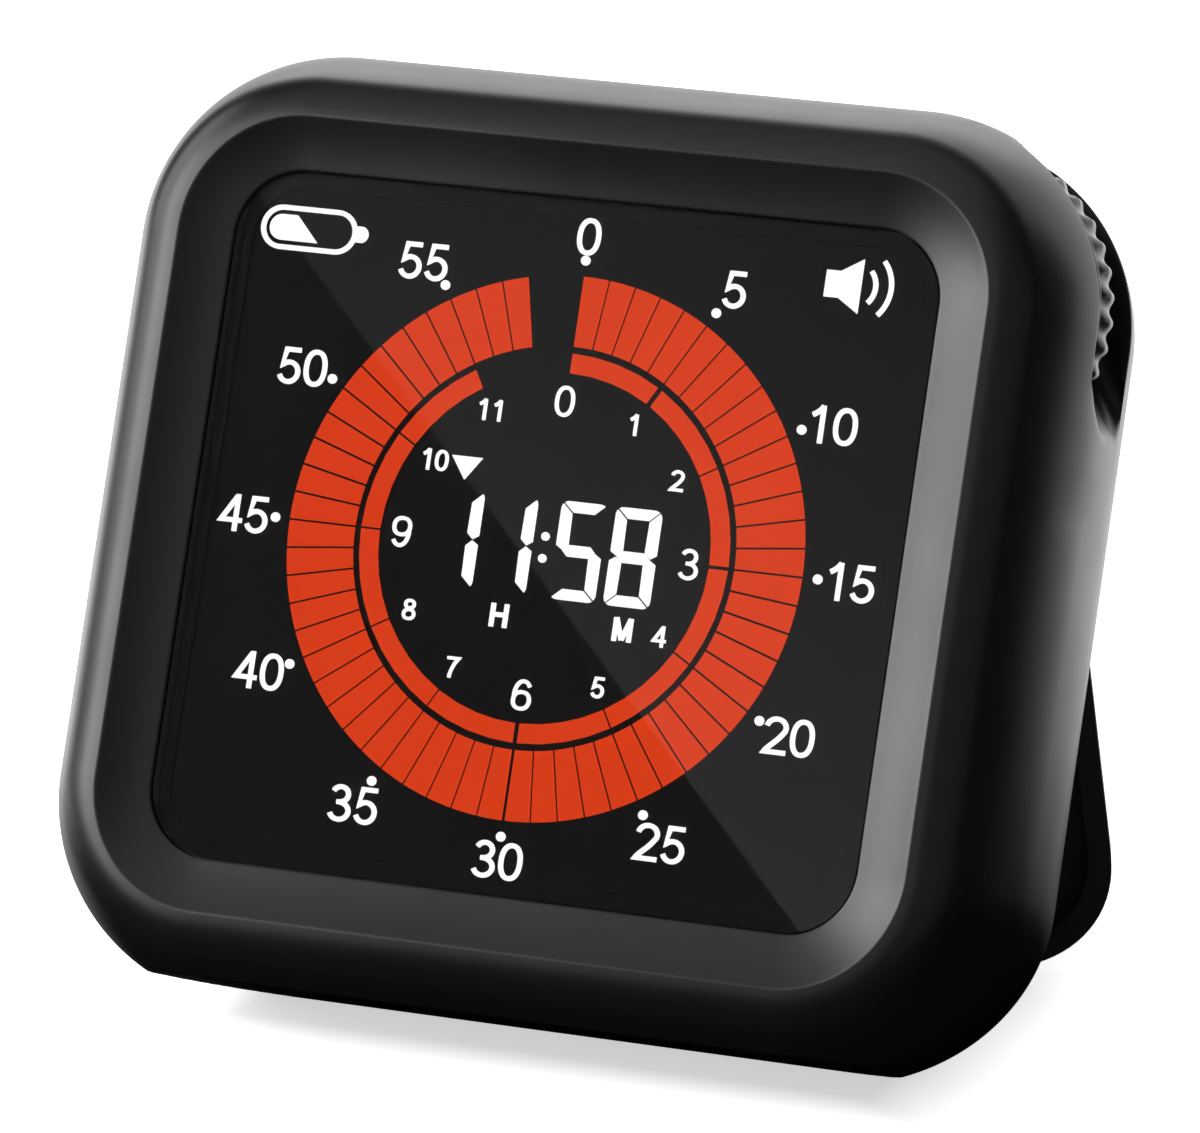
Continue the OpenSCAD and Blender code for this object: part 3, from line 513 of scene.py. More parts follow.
def bars(lit_bars, at):
    """Outlines of one seven bar figure: the top right bar, its mirror images, the top bar, its
    image and the middle bar. Outer corners are arcs, cut by mitres at half a gap from each other.
    Half width w, half height h, bars s and t thick, corner radius c, half a gap g."""
    w, h, s, t, c, g = 2.1, 4.25, 1.09, 1.0, 0.7, 0.055
    cut = np.array([g, -g])
    corner, upper = (bow(w - c, h - c, c, c, 45, stop, 5) for stop in (0, 90))
    inside = np.array([w - s, h - t])
    foot = [[w, 0.4], [w - s / 2, g], [w - s, t / 2 + g]]
    tall = np.vstack([corner[:1] + cut, corner[1:], foot, [inside + cut]])
    half = np.vstack([inside - cut, corner[:1] - cut, upper[1:]])
    flat = np.vstack([half, half[::-1] * [-1, 1]])
    bar = np.array([[w - s / 2 - g, 0], [w - s, t / 2], [s - w, t / 2], [s / 2 + g - w, 0],
                    [s - w, -t / 2], [w - s, -t / 2]])
    shapes = {"a": flat, "b": tall, "c": tall * [1, -1], "d": flat * [1, -1], "e": tall * [-1, -1],
              "f": tall * [-1, 1], "g": bar}
    return [shapes[k] + [at, 0] for k in lit_bars]


def disc(x, y, r, steps=24):
    """Outline of a round dot."""
    return bow(x, y, r, r, 0, 360 - 360 / steps, steps)


def film_piece(name, outlines, replaced=None):
    """Adds flat outlines as one piece of white film."""
    fit(name, solid(name, *plates(outlines)), white_film, "casing", replaced)


digits = [("bc", -8.12), ("bc", -3.16), ("afgcd", 3.23), ("abcdefg", 8.23)]
colon_x, colon_y, colon_r = 0.04, (1.0, -0.91), 0.37
figures = [bar for lit_bars, at in digits for bar in bars(lit_bars, at)]
film_piece("time_bars", figures + [disc(colon_x, y, colon_r) for y in colon_y], "time_digits")

# Dots of the dial, one at every fifth minute, and the pointer over the hours: white film on the
# cell, printed with the rings and lit by the same light.
dot_ring, dot_r = 25, 0.42
dot_turns = np.radians(30 * np.arange(12))
film_piece("dial_dots", [disc(dot_ring * np.sin(a), dot_ring * np.cos(a), dot_r) for a in dot_turns],
           "minute_dots")
pointer = np.array([[-9.545, 7.09], [-8.13, 5.09], [-6.715, 7.09]])
film_piece("hour_pointer", [pointer])

# Numerals of the two scales and the letters under the time: plain sans figures, white film. Each
# figure is a few strokes, and a stroke is a flat section carried along a path with mitred corners.


def oval(cx, cy, rx, ry):
    """Closed figure oval: an ellipse with its shoulders filled out by a power of 0.88."""
    a = np.linspace(0, 2 * np.pi, 36, endpoint=False)
    c, s = np.cos(a), np.sin(a)
    full = lambda v: np.sign(v) * np.abs(v) ** 0.88
    return np.stack([cx + rx * full(c), cy + ry * full(s)], -1)


def glyph(mark, pen):
    """Strokes of one mark in a cell 0.66 wide and 1 high, as (points, closed) pairs; pen is the
    stroke width as a share of the height, and the centre lines stay half a pen inside the cell."""
    h, w = pen / 2, 0.66
    mid, top = w / 2, 1 - pen / 2
    rx = w / 2 - h
    line = lambda *p: (np.array(p, float), False)
    if mark == "9":
        return [(np.array([w, 1]) - p, c) for p, c in glyph("6", pen)]
    hook = bow(mid, 0.705, rx, top - 0.705, 172, -22)
    tail = [[0.47, 0.48], [0.36, 0.36], [0.22, 0.235], [0.105, 0.12], [0.07, h], [w, h]]
    upper = bow(mid - 0.02, 0.735, rx - 0.045, top - 0.735, 160, -80)
    lower = bow(mid - 0.01, 0.29, rx, 0.29 - h, 84, -162)
    flag = [[0.6, top], [0.19, top], [0.115, 0.5]]
    bowl = bow(mid - 0.01, 0.33, rx, 0.33 - h, 128, -160)
    back = bow(mid + 0.02, 0.5, rx + 0.01, 0.5 - h, 38, 186)
    return {
        "0": [(oval(mid, 0.5, rx, 0.5 - h), True)],
        "1": [line((0.42, 0), (0.42, 1)), line((0.14, 0.735), (0.25, 0.8), (0.35, 0.89), (0.42, 0.99))],
        "2": [line(*hook, *tail)],
        "3": [line(*upper), line(*lower), line((0.22, 0.527), (0.36, 0.527))],
        "4": [line((0.475, 0), (0.475, 1)), line((0.45, 0.94), (0.06, 0.3), (0.66, 0.3))],
        "5": [line(*flag, *bowl)],
        "6": [(oval(mid, 0.325, rx, 0.325 - h), True), line(*back)],
        "7": [line((0.04, top), (0.6, top), (0.43, 0.69), (0.31, 0.4), (0.25, 0.18), (0.235, 0))],
        "8": [(oval(mid, 0.75, rx - 0.045, 0.25 - h), True), (oval(mid, 0.285, rx, 0.285 - h), True)],
        "H": [line((0.1, 0), (0.1, 1)), line((0.7, 0), (0.7, 1)), line((0.1, 0.53), (0.7, 0.53))],
        "M": [line((0.1, 0), (0.1, 1)), line((0.76, 0), (0.76, 1)), line((0.11, 0.99), (0.43, 0.07)),
              line((0.75, 0.99), (0.43, 0.07))]}[mark]


def stroke(path, width, closed):
    """Flat bar along a path: corner offsets are the sum of the two side normals over one plus
    their product, which is the mitre's length; open ends are capped square."""
    ahead = np.roll(path, -1, 0) - path
    ahead /= np.maximum(np.linalg.norm(ahead, axis=1), 1e-9)[:, None]
    if not closed:
        ahead[-1] = ahead[-2]
    side = ahead @ np.array([[0, 1], [-1, 0]])
    before = np.roll(side, 1, 0)
    if not closed:
        before[0] = side[0]
    mitre = (side + before) / (1 + (side * before).sum(-1, keepdims=True)).clip(0.4)
    rails = [path + mitre * width / 2, path - mitre * width / 2]
    corners = [(rails[0], film_front), (rails[1], film_front), (rails[1], film_back), (rails[0], film_back)]
    points = np.stack([np.column_stack([p, np.full(len(p), z)]) for p, z in corners], 1)
    faces = quads(len(path), 4, wrap_rows=closed, wrap_cols=True)
    if not closed:
        faces = np.vstack([faces, [0, 1, 2, 3], np.array([3, 2, 1, 0]) + 4 * (len(path) - 1)])
    return points.reshape(-1, 3), faces


def joined(strokes, start=0):
    """Points and quads of several strokes as one, each turned outward, numbered from start."""
    points, faces = [], []
    for p, f in strokes:
        points.append(p)
        faces.append((f if signed(p, f) > 0 else f[:, ::-1]) + start)
        start += len(p)
    return np.vstack(points), np.vstack(faces)


def lettering(name, words, advance=0.745, cell=0.66):
    """One piece from (text, x, y, height, pen) entries, each text centred on its point."""
    strokes = []
    for text, x, y, high, pen in words:
        left = x - high * (advance * (len(text) - 1) + cell) / 2
        for i, mark in enumerate(text):
            at = [left + i * advance * high, y - high / 2]
            strokes += [stroke(path * high + at, pen * high, closed) for path, closed in glyph(mark, pen)]
    points, faces = joined(strokes)
    fit(name, solid(name, points, [faces]), white_film, "casing")


minute_size, large_hour, small_hour, letter_size = (3.25, 0.13), (2.7, 0.12), (1.85, 0.15), (2.05, 0.2)
minute_marks = [("0", 0, 27.08), ("5", 13.87, 23.8), ("10", 24.3, 13.13), ("15", 27.87, 0),
                ("20", 24.48, -13.57), ("25", 14.4, -23.87), ("30", 0, -27.05), ("35", -13.87, -23.87),
                ("40", -24.4, -13.4), ("45", -27.96, 0), ("50", -24.57, 13.26), ("55", -14.8, 23.5)]
lettering("minute_numerals", [(*m, *minute_size) for m in minute_marks])
hour_marks = [("0", 0, 12.74), ("1", 6.57, 11.35), ("2", 11.2, 7.0), ("3", 13.35, 0), ("4", 11.65, -6.4),
              ("5", 6.78, -11.35), ("6", 0, -12.74), ("7", -6.7, -11.1), ("8", -11.4, -6.6),
              ("9", -13.17, 0), ("10", -11.13, 6.5), ("11", -6.65, 11.3)]
quarters = ("0", "3", "6", "9")
lettering("hour_numerals", [(*m, *(large_hour if m[0] in quarters else small_hour)) for m in hour_marks])
lettering("unit_letters", [("H", -3.27, -6.2, *letter_size), ("M", 8.03, -6.2, *letter_size)])

# Icons in the upper corners: a part charged cell and a sounding speaker. White film on the display
# panel, as flat plates and strokes.
case_left, case_right, case_y, case_r, fill_r = -28.45, -23.3, 25.25, 1.735, 1.13
nub_left, nub_x, nub_r, nub_half = -21.45, -21.05, 0.74, 0.7
wave_at, wave_radii, wave_half, icon_line = (24.4, 25.2), (2.0, 3.4), 43, (0.43, 0.42)
case_line = np.vstack([bow(case_left, case_y, case_r, case_r, 90, 270),
                       bow(case_right, case_y, case_r, case_r, -90, 90)])
fill = np.vstack([bow(case_left, case_y, fill_r, fill_r, 92, 268), [[-24.96, 24.12], [-27.1, 26.38]]])
nub = np.vstack([[nub_left, case_y - nub_half], bow(nub_x, case_y, nub_r, nub_r, -72, 72, 14),
                 [nub_left, case_y + nub_half]])
horn = np.array([[21.87, 24.04], [23.17, 24.04], [25.09, 22.83], [25.09, 27.52], [23.17, 26.35],
                 [21.87, 26.35]])
waves = [bow(*wave_at, r, r, wave_half, -wave_half) for r in wave_radii]
flat_points, flat_faces = plates([fill[::-1], nub, horn])
line_points, line_faces = joined([stroke(case_line, icon_line[0], True)]
                                 + [stroke(w, icon_line[1], False) for w in waves], len(flat_points))
icons = solid("corner_icons", np.vstack([flat_points, line_points]), flat_faces + [line_faces])
fit("corner_icons", icons, white_film, "casing")

# Backlight: a clear acrylic guide with a printed dot pattern, in a white tray that holds it to
# the panel and throws stray light back.
guide, tree, where = finish("dotted_clear_guide")
dots = add(tree, "TexVoronoi", {"Vector": where, "Scale": 1000 / 0.9, "Randomness": 0.0})
between = add(tree, "MapRange", {
    "Value": dots.outputs["Distance"], "From Min": 0.25, "From Max": 0.32, "To Min": 0.0, "To Max": 1.0})
tint = add(tree, "Mix", {0: between.outputs[0], 6: linear("#F4F6F6"), 7: linear("#DCE4E8")},
           data_type="RGBA")
plate = add(tree, "BsdfPrincipled", {"Base Color": tint.outputs[2], "Roughness": 0.18, "IOR": 1.49})
add(tree, "OutputMaterial", {"Surface": plate.outputs[0]})
coat(guide, "light_guide")
coat(moulded("white_tray_plastic", "#ECECE8", "#F4F4F1", 0.45, 0.5, 0.01), "display_tray")

# Boards: glass fibre laminate with green solder mask over copper tracks, which show as slightly
# raised, lighter lines; the chip, switches and encoder are soldered to them.
mask, tree, where = finish("green_solder_mask")
tracks = add(tree, "TexBrick", {
    "Vector": where, "Scale": 1000 / 12, "Color1": linear("#1C5A34"), "Color2": linear("#1F6339"),
    "Mortar": linear("#2F7C4C"), "Mortar Size": 0.03, "Brick Width": 0.7, "Row Height": 0.12})
bump = add(tree, "Bump", {"Height": tracks.outputs["Fac"], "Strength": 0.4, "Distance": 0.00004})
lacquer = add(tree, "BsdfPrincipled", {
    "Base Color": tracks.outputs["Color"], "Roughness": 0.32, "Normal": bump.outputs[0], "IOR": 1.52})
add(tree, "OutputMaterial", {"Surface": lacquer.outputs[0]})
coat(mask, "main_board", "rear_board")
coat(moulded("black_chip_epoxy", "#121213", "#1B1B1C", 0.5, 0.15, 0.01), "controller_chip")
coat(moulded("grey_encoder_nylon", "#303033", "#39393C", 0.5, 0.4, 0.01), "encoder_base")
coat(moulded("ivory_switch_nylon", "#C4C4BE", "#D2D2CC", 0.42, 0.4, 0.01),
     "press_switch", "wheel_carriage", "volume_switch", "mode_switch")


def plated(name, dark, light, roughness, streak):
    """Plated steel: streaks of the drawing or turning, stretched ten to one, shade the colour and
    the gloss; metallic, with the default IOR."""
    material, tree, where = finish(name)
    drawn = add(tree, "Mapping", {"Vector": where, "Scale": (10.0, 10.0, 1.0)})
    lines = add(tree, "TexNoise", {
        "Vector": drawn.outputs[0], "Scale": 1000 / streak / 10, "Detail": 3.0})
    tone = add(tree, "Mix", {0: lines.outputs["Fac"], 6: linear(dark), 7: linear(light)}, data_type="RGBA")
    gloss = add(tree, "MapRange", {
        "Value": lines.outputs["Fac"], "To Min": roughness - 0.06, "To Max": roughness + 0.06})
    metal = add(tree, "BsdfPrincipled", {
        "Base Color": tone.outputs[2], "Roughness": gloss.outputs[0], "Metallic": 1.0})
    add(tree, "OutputMaterial", {"Surface": metal.outputs[0]})
    return material


coat(plated("zinc_plated_steel", "#9DA0A4", "#C3C6C9", 0.34, 0.15),
     "board_screws", "wheel_screw", "case_screws", "rear_board_screws", "hinge_pins")

# Setting wheel: a toothed thumb wheel on the encoder's axle, black ABS like the housing but with
# more gloss, and painted lighter all over as a painted highlight of its rim. A hollow in its front face
# goes over the encoder.
wheel_r, hub_r, cup_r, wheel_bore = 15.0, 13.3, 11.7, 2.06
wheel_front, wheel_back, web_front, tooth_t, tooth_slope = -8.1, -12.2, -9.3, 1.3, 1.2
teeth, groove_depth, root_fall, groove_at = 41, 0.45, 0.1, np.radians(22.89)
rim_taper, back_edge, front_edge, root_run, web_r = 0.04, 0.14, 0.16, 0.9, 8.0


def wheel_surface():
    """Section of the wheel carried once round its axis: hub, hollow and toothed rim. Along the rim
    the radius falls by a raised cosine of the tooth angle. In front the crests slope down to the
    roots by a line and a square, the roots run straight on, and the back edge is rounded."""
    crest = np.linspace(0, 1, 4)
    rim_z = wheel_back + back_edge + crest * (tooth_t - back_edge - front_edge)
    rim = np.stack([wheel_r - rim_taper * (1 - crest), rim_z, np.ones(4)], -1)
    fall = np.r_[0.03, np.linspace(0.08, 1, 9)]
    root_r, shoulder = wheel_r - groove_depth - root_fall, wheel_back + tooth_t + tooth_slope + root_run
    slope_r = wheel_r - (groove_depth + root_fall) * (0.6 * fall + 0.4 * fall ** 2)
    slope_z = wheel_back + tooth_t - front_edge + (tooth_slope + front_edge) * fall
    valley_r = wheel_r - groove_depth - root_fall * fall ** 2
    slope = np.stack([slope_r, slope_z, (slope_r - valley_r) / groove_depth], -1)
    back = np.array([[wheel_bore, wheel_back, 0], [web_r, wheel_back, 0], [hub_r, wheel_back, 0],
                     [wheel_r - 0.4, wheel_back, 0.9], [wheel_r - back_edge, wheel_back + 0.03, 1]])
    front = np.array([[root_r, shoulder - 0.05, 0], [root_r - 0.05, shoulder, 0], [hub_r, shoulder, 0],
                      [hub_r, wheel_front - 0.2, 0], [hub_r - 0.2, wheel_front, 0], [cup_r, wheel_front, 0],
                      [cup_r, web_front, 0], [web_r, web_front, 0], [wheel_bore, web_front, 0]])
    section = np.vstack([back, rim, slope, front])
    a = np.linspace(0, 2 * np.pi, teeth * 24, endpoint=False)[:, None]
    drop = groove_depth * (1 + np.cos(teeth * (a - groove_at))) / 2
    r = section[:, 0] - section[:, 2] * drop
    points = np.stack([wheel_at[0] + r * np.cos(a), wheel_at[1] + r * np.sin(a),
                       np.broadcast_to(section[:, 1], r.shape)], -1)
    return points.reshape(-1, 3), [quads(len(a), len(section), True, True)]


# Painted highlight: the wheel's colour is painted lighter than the housing's black to show its rim's glint.
fit("toothed_wheel", solid("toothed_wheel", *wheel_surface(), edge=50),
    moulded("black_abs_painted_lighter", "#1E1E20", "#272729", 0.27, 0.3, 0.006),
    "wheel", "thumb_wheel")

# Charging socket: a drawn and tin plated steel shell with its tongue, soldered to the main board
# behind the port.
coat(plated("bright_tin_plate", "#B4B8BB", "#D5D8DA", 0.26, 0.25), "usb_socket")

# Rear cover: the plate that closes the casing, with the fixed upper back, hearing holes, the
# hinge lugs and seats for magnets and keys. Black ABS, moulded like the housing.


def smoothed(node, name, edge):
    """Merged copy of a CAD node's mesh, smooth across edges flatter than edge degrees."""
    mesh = frame["nodes"][node].data.copy()
    mesh.name = name
    mesh.materials.clear()
    shape = bmesh.new()
    shape.from_mesh(mesh)
    bmesh.ops.remove_doubles(shape, verts=shape.verts, dist=2e-6)
    shape.to_mesh(mesh)
    shape.free()
    if "custom_normal" in mesh.attributes:
        mesh.attributes.remove(mesh.attributes["custom_normal"])
    mesh.shade_smooth()
    mesh.set_sharp_from_angle(angle=np.radians(edge))
    return mesh


def weighted(piece):
    """Normals by face area, with the sharp edges kept."""
    even = piece.modifiers.new("even_flats", "WEIGHTED_NORMAL")
    even.keep_sharp = True
    even.weight = 100


weighted(fit("rear_shell", smoothed("rear_cover", "rear_shell", 24),
             moulded("satin_black_cover_abs", "#161617", "#1F1F21", 0.4, 0.22, 0.014),
             "casing", "rear_cover"))

# Magnets: two sintered discs, ground flat and nickel plated, pressed into seats in the rear cover.
# The plate is bright, with the fine lines of the grinding.
coat(plated("nickel_plate", "#B9BABB", "#DADBDC", 0.2, 0.2), "magnets")

# Sounder: a moulded case of black plastic with an open mouth, behind the hearing holes. It looks
# dull and dark through them.
coat(moulded("black_sounder_case", "#0D0D0D", "#151515", 0.5, 0.4, 0.01), "buzzer")

# Mode button: a round cap with a dished top, held in the cover by its flange. Black ABS from a
# polished tool, so it is smoother than the cover round it.
button_at, button_r, flange_r = np.array([-12.0, 11.0]), 4.0, 5.0
button_front, button_seat, button_top = -25.0, -25.9, -29.8
button_edge, dish_edge, dish_depth, tip_r = 0.5, 0.6, 0.45, 0.05


def turned(section, at, steps=72):
    """Closed section (r, z) turned once about an axis along z; the ends on the axis are closed by
    small flat caps."""
    a = np.linspace(0, 2 * np.pi, steps, endpoint=False)[:, None]
    r, z = np.asarray(section, float).T
    points = np.stack([at[0] + r * np.cos(a), at[1] + r * np.sin(a),
                       np.broadcast_to(z, (steps, len(z)))], -1)
    ring = np.arange(steps)[None] * len(z)
    return points.reshape(-1, 3), [quads(steps, len(z), True)[:, ::-1], ring,
                                   ring[:, ::-1] + len(z) - 1]


edge_arc = bow(button_r - button_edge, button_top + button_edge, button_edge, button_edge, 0, -90, 7)
dish_r = np.linspace(button_r - dish_edge - 0.1, tip_r, 12)
dish = np.stack([dish_r, button_top + dish_depth * (1 - (dish_r / (button_r - dish_edge)) ** 2)], -1)
cap = np.vstack([[tip_r, button_front], [flange_r, button_front], [flange_r, button_seat],
                 [button_r, button_seat], edge_arc, dish])
key_plastic = moulded("smooth_black_key_abs", "#1E1E20", "#2A2A2C", 0.3, 0.35, 0.006)
fit("dished_button", solid("dished_button", *turned(cap, button_at)), key_plastic,
    "button", "mode_button")

# Volume slider: a ridged thumb piece in a slot of the cover, held under it by its foot. Moulded in
# the same smooth black ABS as the button.
slider_at, slider_half = np.array([12.0, 11.0]), np.array([1.2, 1.5])
foot_half, foot_z, slider_top = np.array([2.4, 2.5]), (-24.0, -24.6), -29.8
ridge_depth, ridge_waves, ridge_power, stem_gap = 0.5, 1.5, 0.7, 0.3


def ridged_slider():
    """Section across the slide, with a comb of ridges on its crown as a rectified sine, carried
    along y between two ends; the foot is a wider box under it."""
    x = np.linspace(-slider_half[0], slider_half[0], 49)
    wave = np.abs(np.sin(ridge_waves * np.pi * x / slider_half[0] + np.pi / 2))
    comb = slider_top + ridge_depth * wave ** ridge_power
    stem_z = foot_z[1] + stem_gap
    section = np.stack([np.r_[x[-1], x[0], x], np.r_[stem_z, stem_z, comb]], -1)
    k = len(section)
    stem = np.vstack([np.insert(section, 1, y, axis=1) for y in (-slider_half[1], slider_half[1])])
    sides = quads(2, k, wrap_cols=True)
    ends = np.stack([np.arange(k), k + np.arange(k)[::-1]])
    box = np.array([[sx, sy, z] for z in foot_z for sy in (-1, 1) for sx in (-1, 1)]) \
        * [foot_half[0], foot_half[1], 1]
    box_faces = np.array([[0, 1, 3, 2], [4, 6, 7, 5], [0, 4, 5, 1], [2, 3, 7, 6], [0, 2, 6, 4],
                          [1, 5, 7, 3]])
    if signed(box, box_faces) < 0:
        box_faces = box_faces[:, ::-1]
    if signed(stem, sides) < 0:
        sides, ends = sides[:, ::-1], ends[:, ::-1]
    points = np.vstack([stem, box]) + [slider_at[0], slider_at[1], 0]
    return points, [np.vstack([sides, box_faces + 2 * k]), ends]


fit("ridged_slider", solid("ridged_slider", *ridged_slider()), key_plastic,
    "slider", "volume_slider")

# Battery: a pouch of laminated aluminium foil that rests on a strip of closed cell foam. The foil is
# slightly crinkled where it was folded and sealed.
pouch, tree, where = finish("crinkled_foil_pouch")
folds = add(tree, "TexNoise", {"Vector": where, "Scale": 1000 / 6, "Detail": 4.0, "Distortion": 0.6})
tone = add(tree, "Mix", {0: folds.outputs["Fac"], 6: linear("#8E979E"), 7: linear("#B7BFC5")},
           data_type="RGBA")
bump = add(tree, "Bump", {"Height": folds.outputs["Fac"], "Strength": 0.35, "Distance": 0.0002})
foil = add(tree, "BsdfPrincipled", {
    "Base Color": tone.outputs[2], "Roughness": 0.38, "Metallic": 1.0, "Normal": bump.outputs[0]})
add(tree, "OutputMaterial", {"Surface": foil.outputs[0]})
coat(pouch, "battery_cell")
coat(moulded("grey_cell_foam", "#2E2E2E", "#424242", 0.85, 0.6, 0.08), "battery_pad")

# Stand: the lower back of the casing, hinged on two pins and swung out until it stops. Black ABS
# with the same grain; its inner face is hollowed and keeps a rim.
weighted(fit("rear_stand", smoothed("kickstand", "rear_stand", 24),
             moulded("satin_black_stand_abs", "#2A2A2C", "#323234", 0.6, 0.22, 0.014, 1.45),
             "stand", "kickstand"))

# Studio: a pale floor that runs up into a backdrop behind the part. The camera sees it white by
# its own glow, painted dimmer in a patch under the part so that the part's shadow shows only there
# and is washed out beyond it; in gloss and glass it is a painted reflection, white behind the part and dark
# in front of it.
sweep_half, bend_y, bend_r, sweep_top = 2.0, 1.2, 0.5, 2.2
bend = np.linspace(0.2, np.pi / 2, 8)
sweep_y = np.r_[np.linspace(-sweep_half, bend_y, 9), bend_y + bend_r * np.sin(bend), bend_y + bend_r]
sweep_z = np.r_[np.zeros(9), bend_r - bend_r * np.cos(bend), sweep_top]
profile = np.stack([sweep_y, sweep_z], -1)
sweep = np.vstack([np.insert(profile, 0, x, axis=1) for x in (-sweep_half, sweep_half)])
paper_mesh = bpy.data.meshes.new("paper_sweep")
paper_mesh.from_pydata(sweep.tolist(), [], quads(2, len(profile)).tolist())
paper_mesh.shade_smooth()
paper, tree, where = finish("white_paper")
shade_y, shade_half = 0.014, (0.031, 0.022)
rays = add(tree, "LightPath").outputs
other = add(tree, "Math", {0: rays["Is Glossy Ray"], 1: rays["Is Transmission Ray"]}, operation="MAXIMUM")
side = add(tree, "VectorMath", {0: where, 1: (-0.45, 0.89, 0.0)}, operation="DOT_PRODUCT")
behind = add(tree, "MapRange", {
    "Value": side.outputs["Value"], "From Min": 0.01, "From Max": 0.11, "To Min": 0.0, "To Max": 1.25})
weak = add(tree, "Math", {0: other.outputs[0], 1: behind.outputs[0]}, operation="MULTIPLY")
# Painted light: the floor's glow is dimmer in a patch under the part and full beyond it, washing out the
# part's shadow outside the patch.
shift = add(tree, "Mapping", {
    "Vector": where, "Location": (0, -shade_y / shade_half[1], 0),
    "Scale": (1 / shade_half[0], 1 / shade_half[1], 0)})
apart = add(tree, "VectorMath", {0: shift.outputs[0]}, operation="ABSOLUTE")
ways = add(tree, "SeparateXYZ", {0: apart.outputs[0]})
under = add(tree, "Math", {0: ways.outputs[0], 1: ways.outputs[1]}, operation="MAXIMUM")
open_floor = add(tree, "MapRange", {
    "Value": under.outputs[0], "From Min": 0.95, "From Max": 1.25, "To Min": 0.57, "To Max": 1.0})
bright = add(tree, "Math", {0: rays["Is Camera Ray"], 1: open_floor.outputs[0]}, operation="MULTIPLY")
level = add(tree, "Math", {0: bright.outputs[0], 1: weak.outputs[0]}, operation="MAXIMUM")
fibre = add(tree, "TexNoise", {"Vector": where, "Scale": 1000 / 3, "Detail": 3.0})
white = add(tree, "Mix", {0: fibre.outputs["Fac"], 6: linear("#F4F4F4"), 7: linear("#F8F8F8")},
            data_type="RGBA")
# Painted reflection: for gloss and glass the floor in front of the part is painted near black.
front = add(tree, "Math", {0: other.outputs[0], 1: weak.outputs[0]}, operation="SUBTRACT", use_clamp=True)
shade = add(tree, "Mix", {0: front.outputs[0], 6: white.outputs[2], 7: linear("#0C0C0C")}, data_type="RGBA")
sheet = add(tree, "BsdfDiffuse", {"Color": shade.outputs[2]})
glow = add(tree, "Emission", {"Color": (1, 1, 1, 1), "Strength": level.outputs[0]})
both = add(tree, "AddShader", {0: sheet.outputs[0], 1: glow.outputs[0]})
add(tree, "OutputMaterial", {"Surface": both.outputs[0]})
paper_mesh.materials.append(paper)
paper_sweep = linked("paper_sweep", paper_mesh)

# Camera: where the photograph was taken from, a long lens to the right of the part and above it.
# Its place and focal length were solved from the window, the ring and the casing's outline.
azimuth, elevation, distance = np.radians(21.98), np.radians(16.84), 741.0
image_w, focal_px, sensor_mm = 1200, 8661.5, 36.0
aim_px = np.array([57.3, 19.0])


def direction(a, e):
    """Unit vector at an azimuth from straight in front, to the right, and an elevation."""
    return np.array([np.sin(a) * np.cos(e), -np.cos(a) * np.cos(e), np.sin(e)])


toward = direction(azimuth, elevation)
right = np.array([np.cos(azimuth), np.sin(azimuth), 0])
above = np.cross(toward, right)
eye = display_centre + distance * toward
target = display_centre + distance / focal_px * (aim_px[0] * right - aim_px[1] * above)
lens = bpy.data.cameras.new("camera")
lens.sensor_fit, lens.sensor_width, lens.lens = "HORIZONTAL", sensor_mm, focal_px * sensor_mm / image_w
camera = linked("camera", lens)
camera.location = Vector(eye / 1000)
camera.rotation_euler = Vector((target - eye) / 1000).to_track_quat("-Z", "Y").to_euler()
bpy.context.scene.camera = camera

# Reflected card: a dim grey card in front of the lens, whose straight edge shows as the slanting
# border of the lens's glare. Its corners are found by mirroring the camera in the lens.
lens_face = 0.45
spot = eye - display_centre
eye_local = np.array([spot[0], spot[1] * np.sin(lean) + spot[2] * np.cos(lean),
                      -spot[1] * np.cos(lean) + spot[2] * np.sin(lean)])
mirrored = eye_local * [1, 1, -1] + [0, 0, 2 * lens_face]


def glare_point(x, y, away=600.0):
    """Where the line from the mirrored camera through a lens point is, this far beyond it."""
    point = np.array([x, y, lens_face])
    along = point - mirrored
    return point + away * along / np.linalg.norm(along)


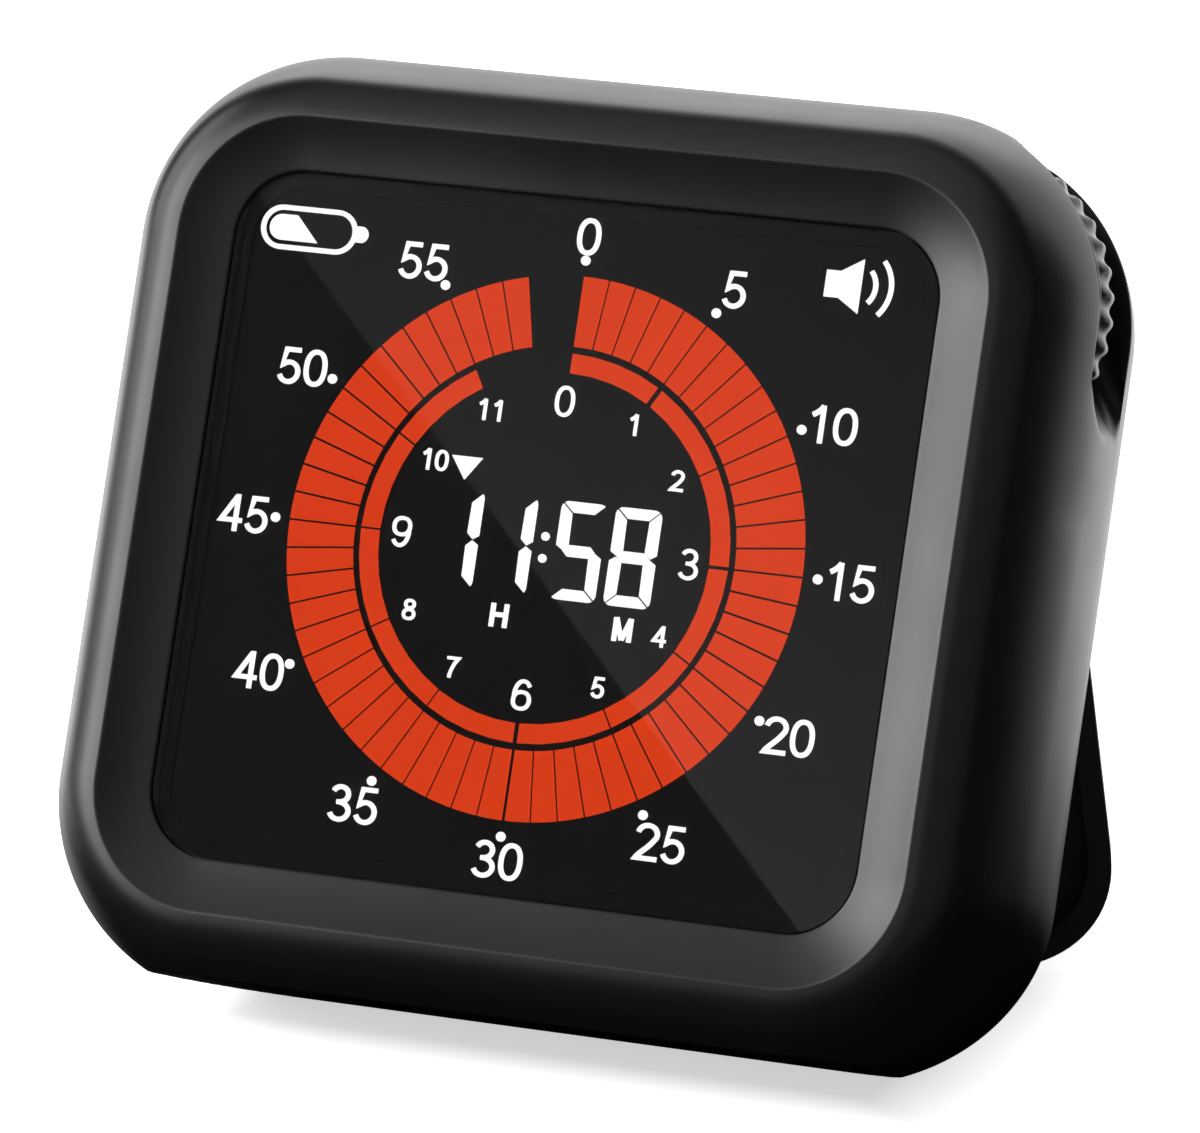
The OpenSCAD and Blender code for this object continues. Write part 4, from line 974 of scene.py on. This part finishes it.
card_corners = [(-44, 40.6), (40, -41.5), (95, 20), (20, 95)]
card_local = np.array([glare_point(x, y) for x, y in card_corners])
card_mesh = bpy.data.meshes.new("glare_card")
card_mesh.from_pydata(placed(card_local).tolist(), [], [[0, 1, 2, 3]])
spread = card_mesh.uv_layers.new(name="fade")
spread.data.foreach_set("uv", [0, 0, 0, 1, 1, 1, 1, 0])
card, tree, where = finish("grey_card")
fade = add(tree, "UVMap", uv_map="fade")
ways = add(tree, "SeparateXYZ", {0: fade.outputs[0]})
across = add(tree, "MapRange", {"Value": ways.outputs[0], "To Min": 0.24, "To Max": 0.0})
along = add(tree, "MapRange", {"Value": ways.outputs[1], "To Min": 0.6, "To Max": 1.35})
level = add(tree, "Math", {0: across.outputs[0], 1: along.outputs[0]}, operation="MULTIPLY")
glow = add(tree, "Emission", {"Color": (1, 1, 1, 1), "Strength": level.outputs[0]})
add(tree, "OutputMaterial", {"Surface": glow.outputs[0]})
card_mesh.materials.append(card)
glare_card = linked("glare_card", card_mesh)

# Lights: soft boxes at the left, in front, above, at the right and behind, and a dim even world.
# Those at the left are the brightest and draw the gloss along the casing's edge.
world = bpy.data.worlds.new("studio")
world.use_nodes = True
sky = world.node_tree.nodes["Background"].inputs
sky["Color"].default_value = (1, 1, 1, 1)
sky["Strength"].default_value = 0.05
bpy.context.scene.world = world


def soft_box(name, azimuth_deg, elevation_deg, away, width, height, radiance):
    """Area lamp on a sphere round the part, facing it; its power is radiance times area times pi."""
    lamp = bpy.data.lights.new(name, "AREA")
    lamp.shape, lamp.size, lamp.size_y = "RECTANGLE", width, height
    lamp.energy = radiance * width * height * np.pi
    box = linked(name, lamp)
    way = direction(np.radians(azimuth_deg), np.radians(elevation_deg))
    box.location = Vector(display_centre / 1000 + away * way)
    box.rotation_euler = Vector(-way).to_track_quat("-Z", "Y").to_euler()


soft_box("left_box", -50, 22, 0.8, 0.46, 0.36, 8.2)
soft_box("side_box", -85, 24, 0.8, 0.5, 0.5, 2.9)
soft_box("front_box", -3, 28, 0.9, 0.15, 0.5, 0.8)
soft_box("brow_box", -22, 50, 0.9, 0.4, 0.2, 0.3)
soft_box("top_box", -20, 75, 0.9, 0.9, 0.9, 0.5)
soft_box("right_box", 48, 20, 1.0, 1.1, 0.8, 0.14)
soft_box("back_box", -165, 32, 1.0, 0.9, 0.4, 1.3)

bpy.context.scene.view_settings.view_transform = "Standard"
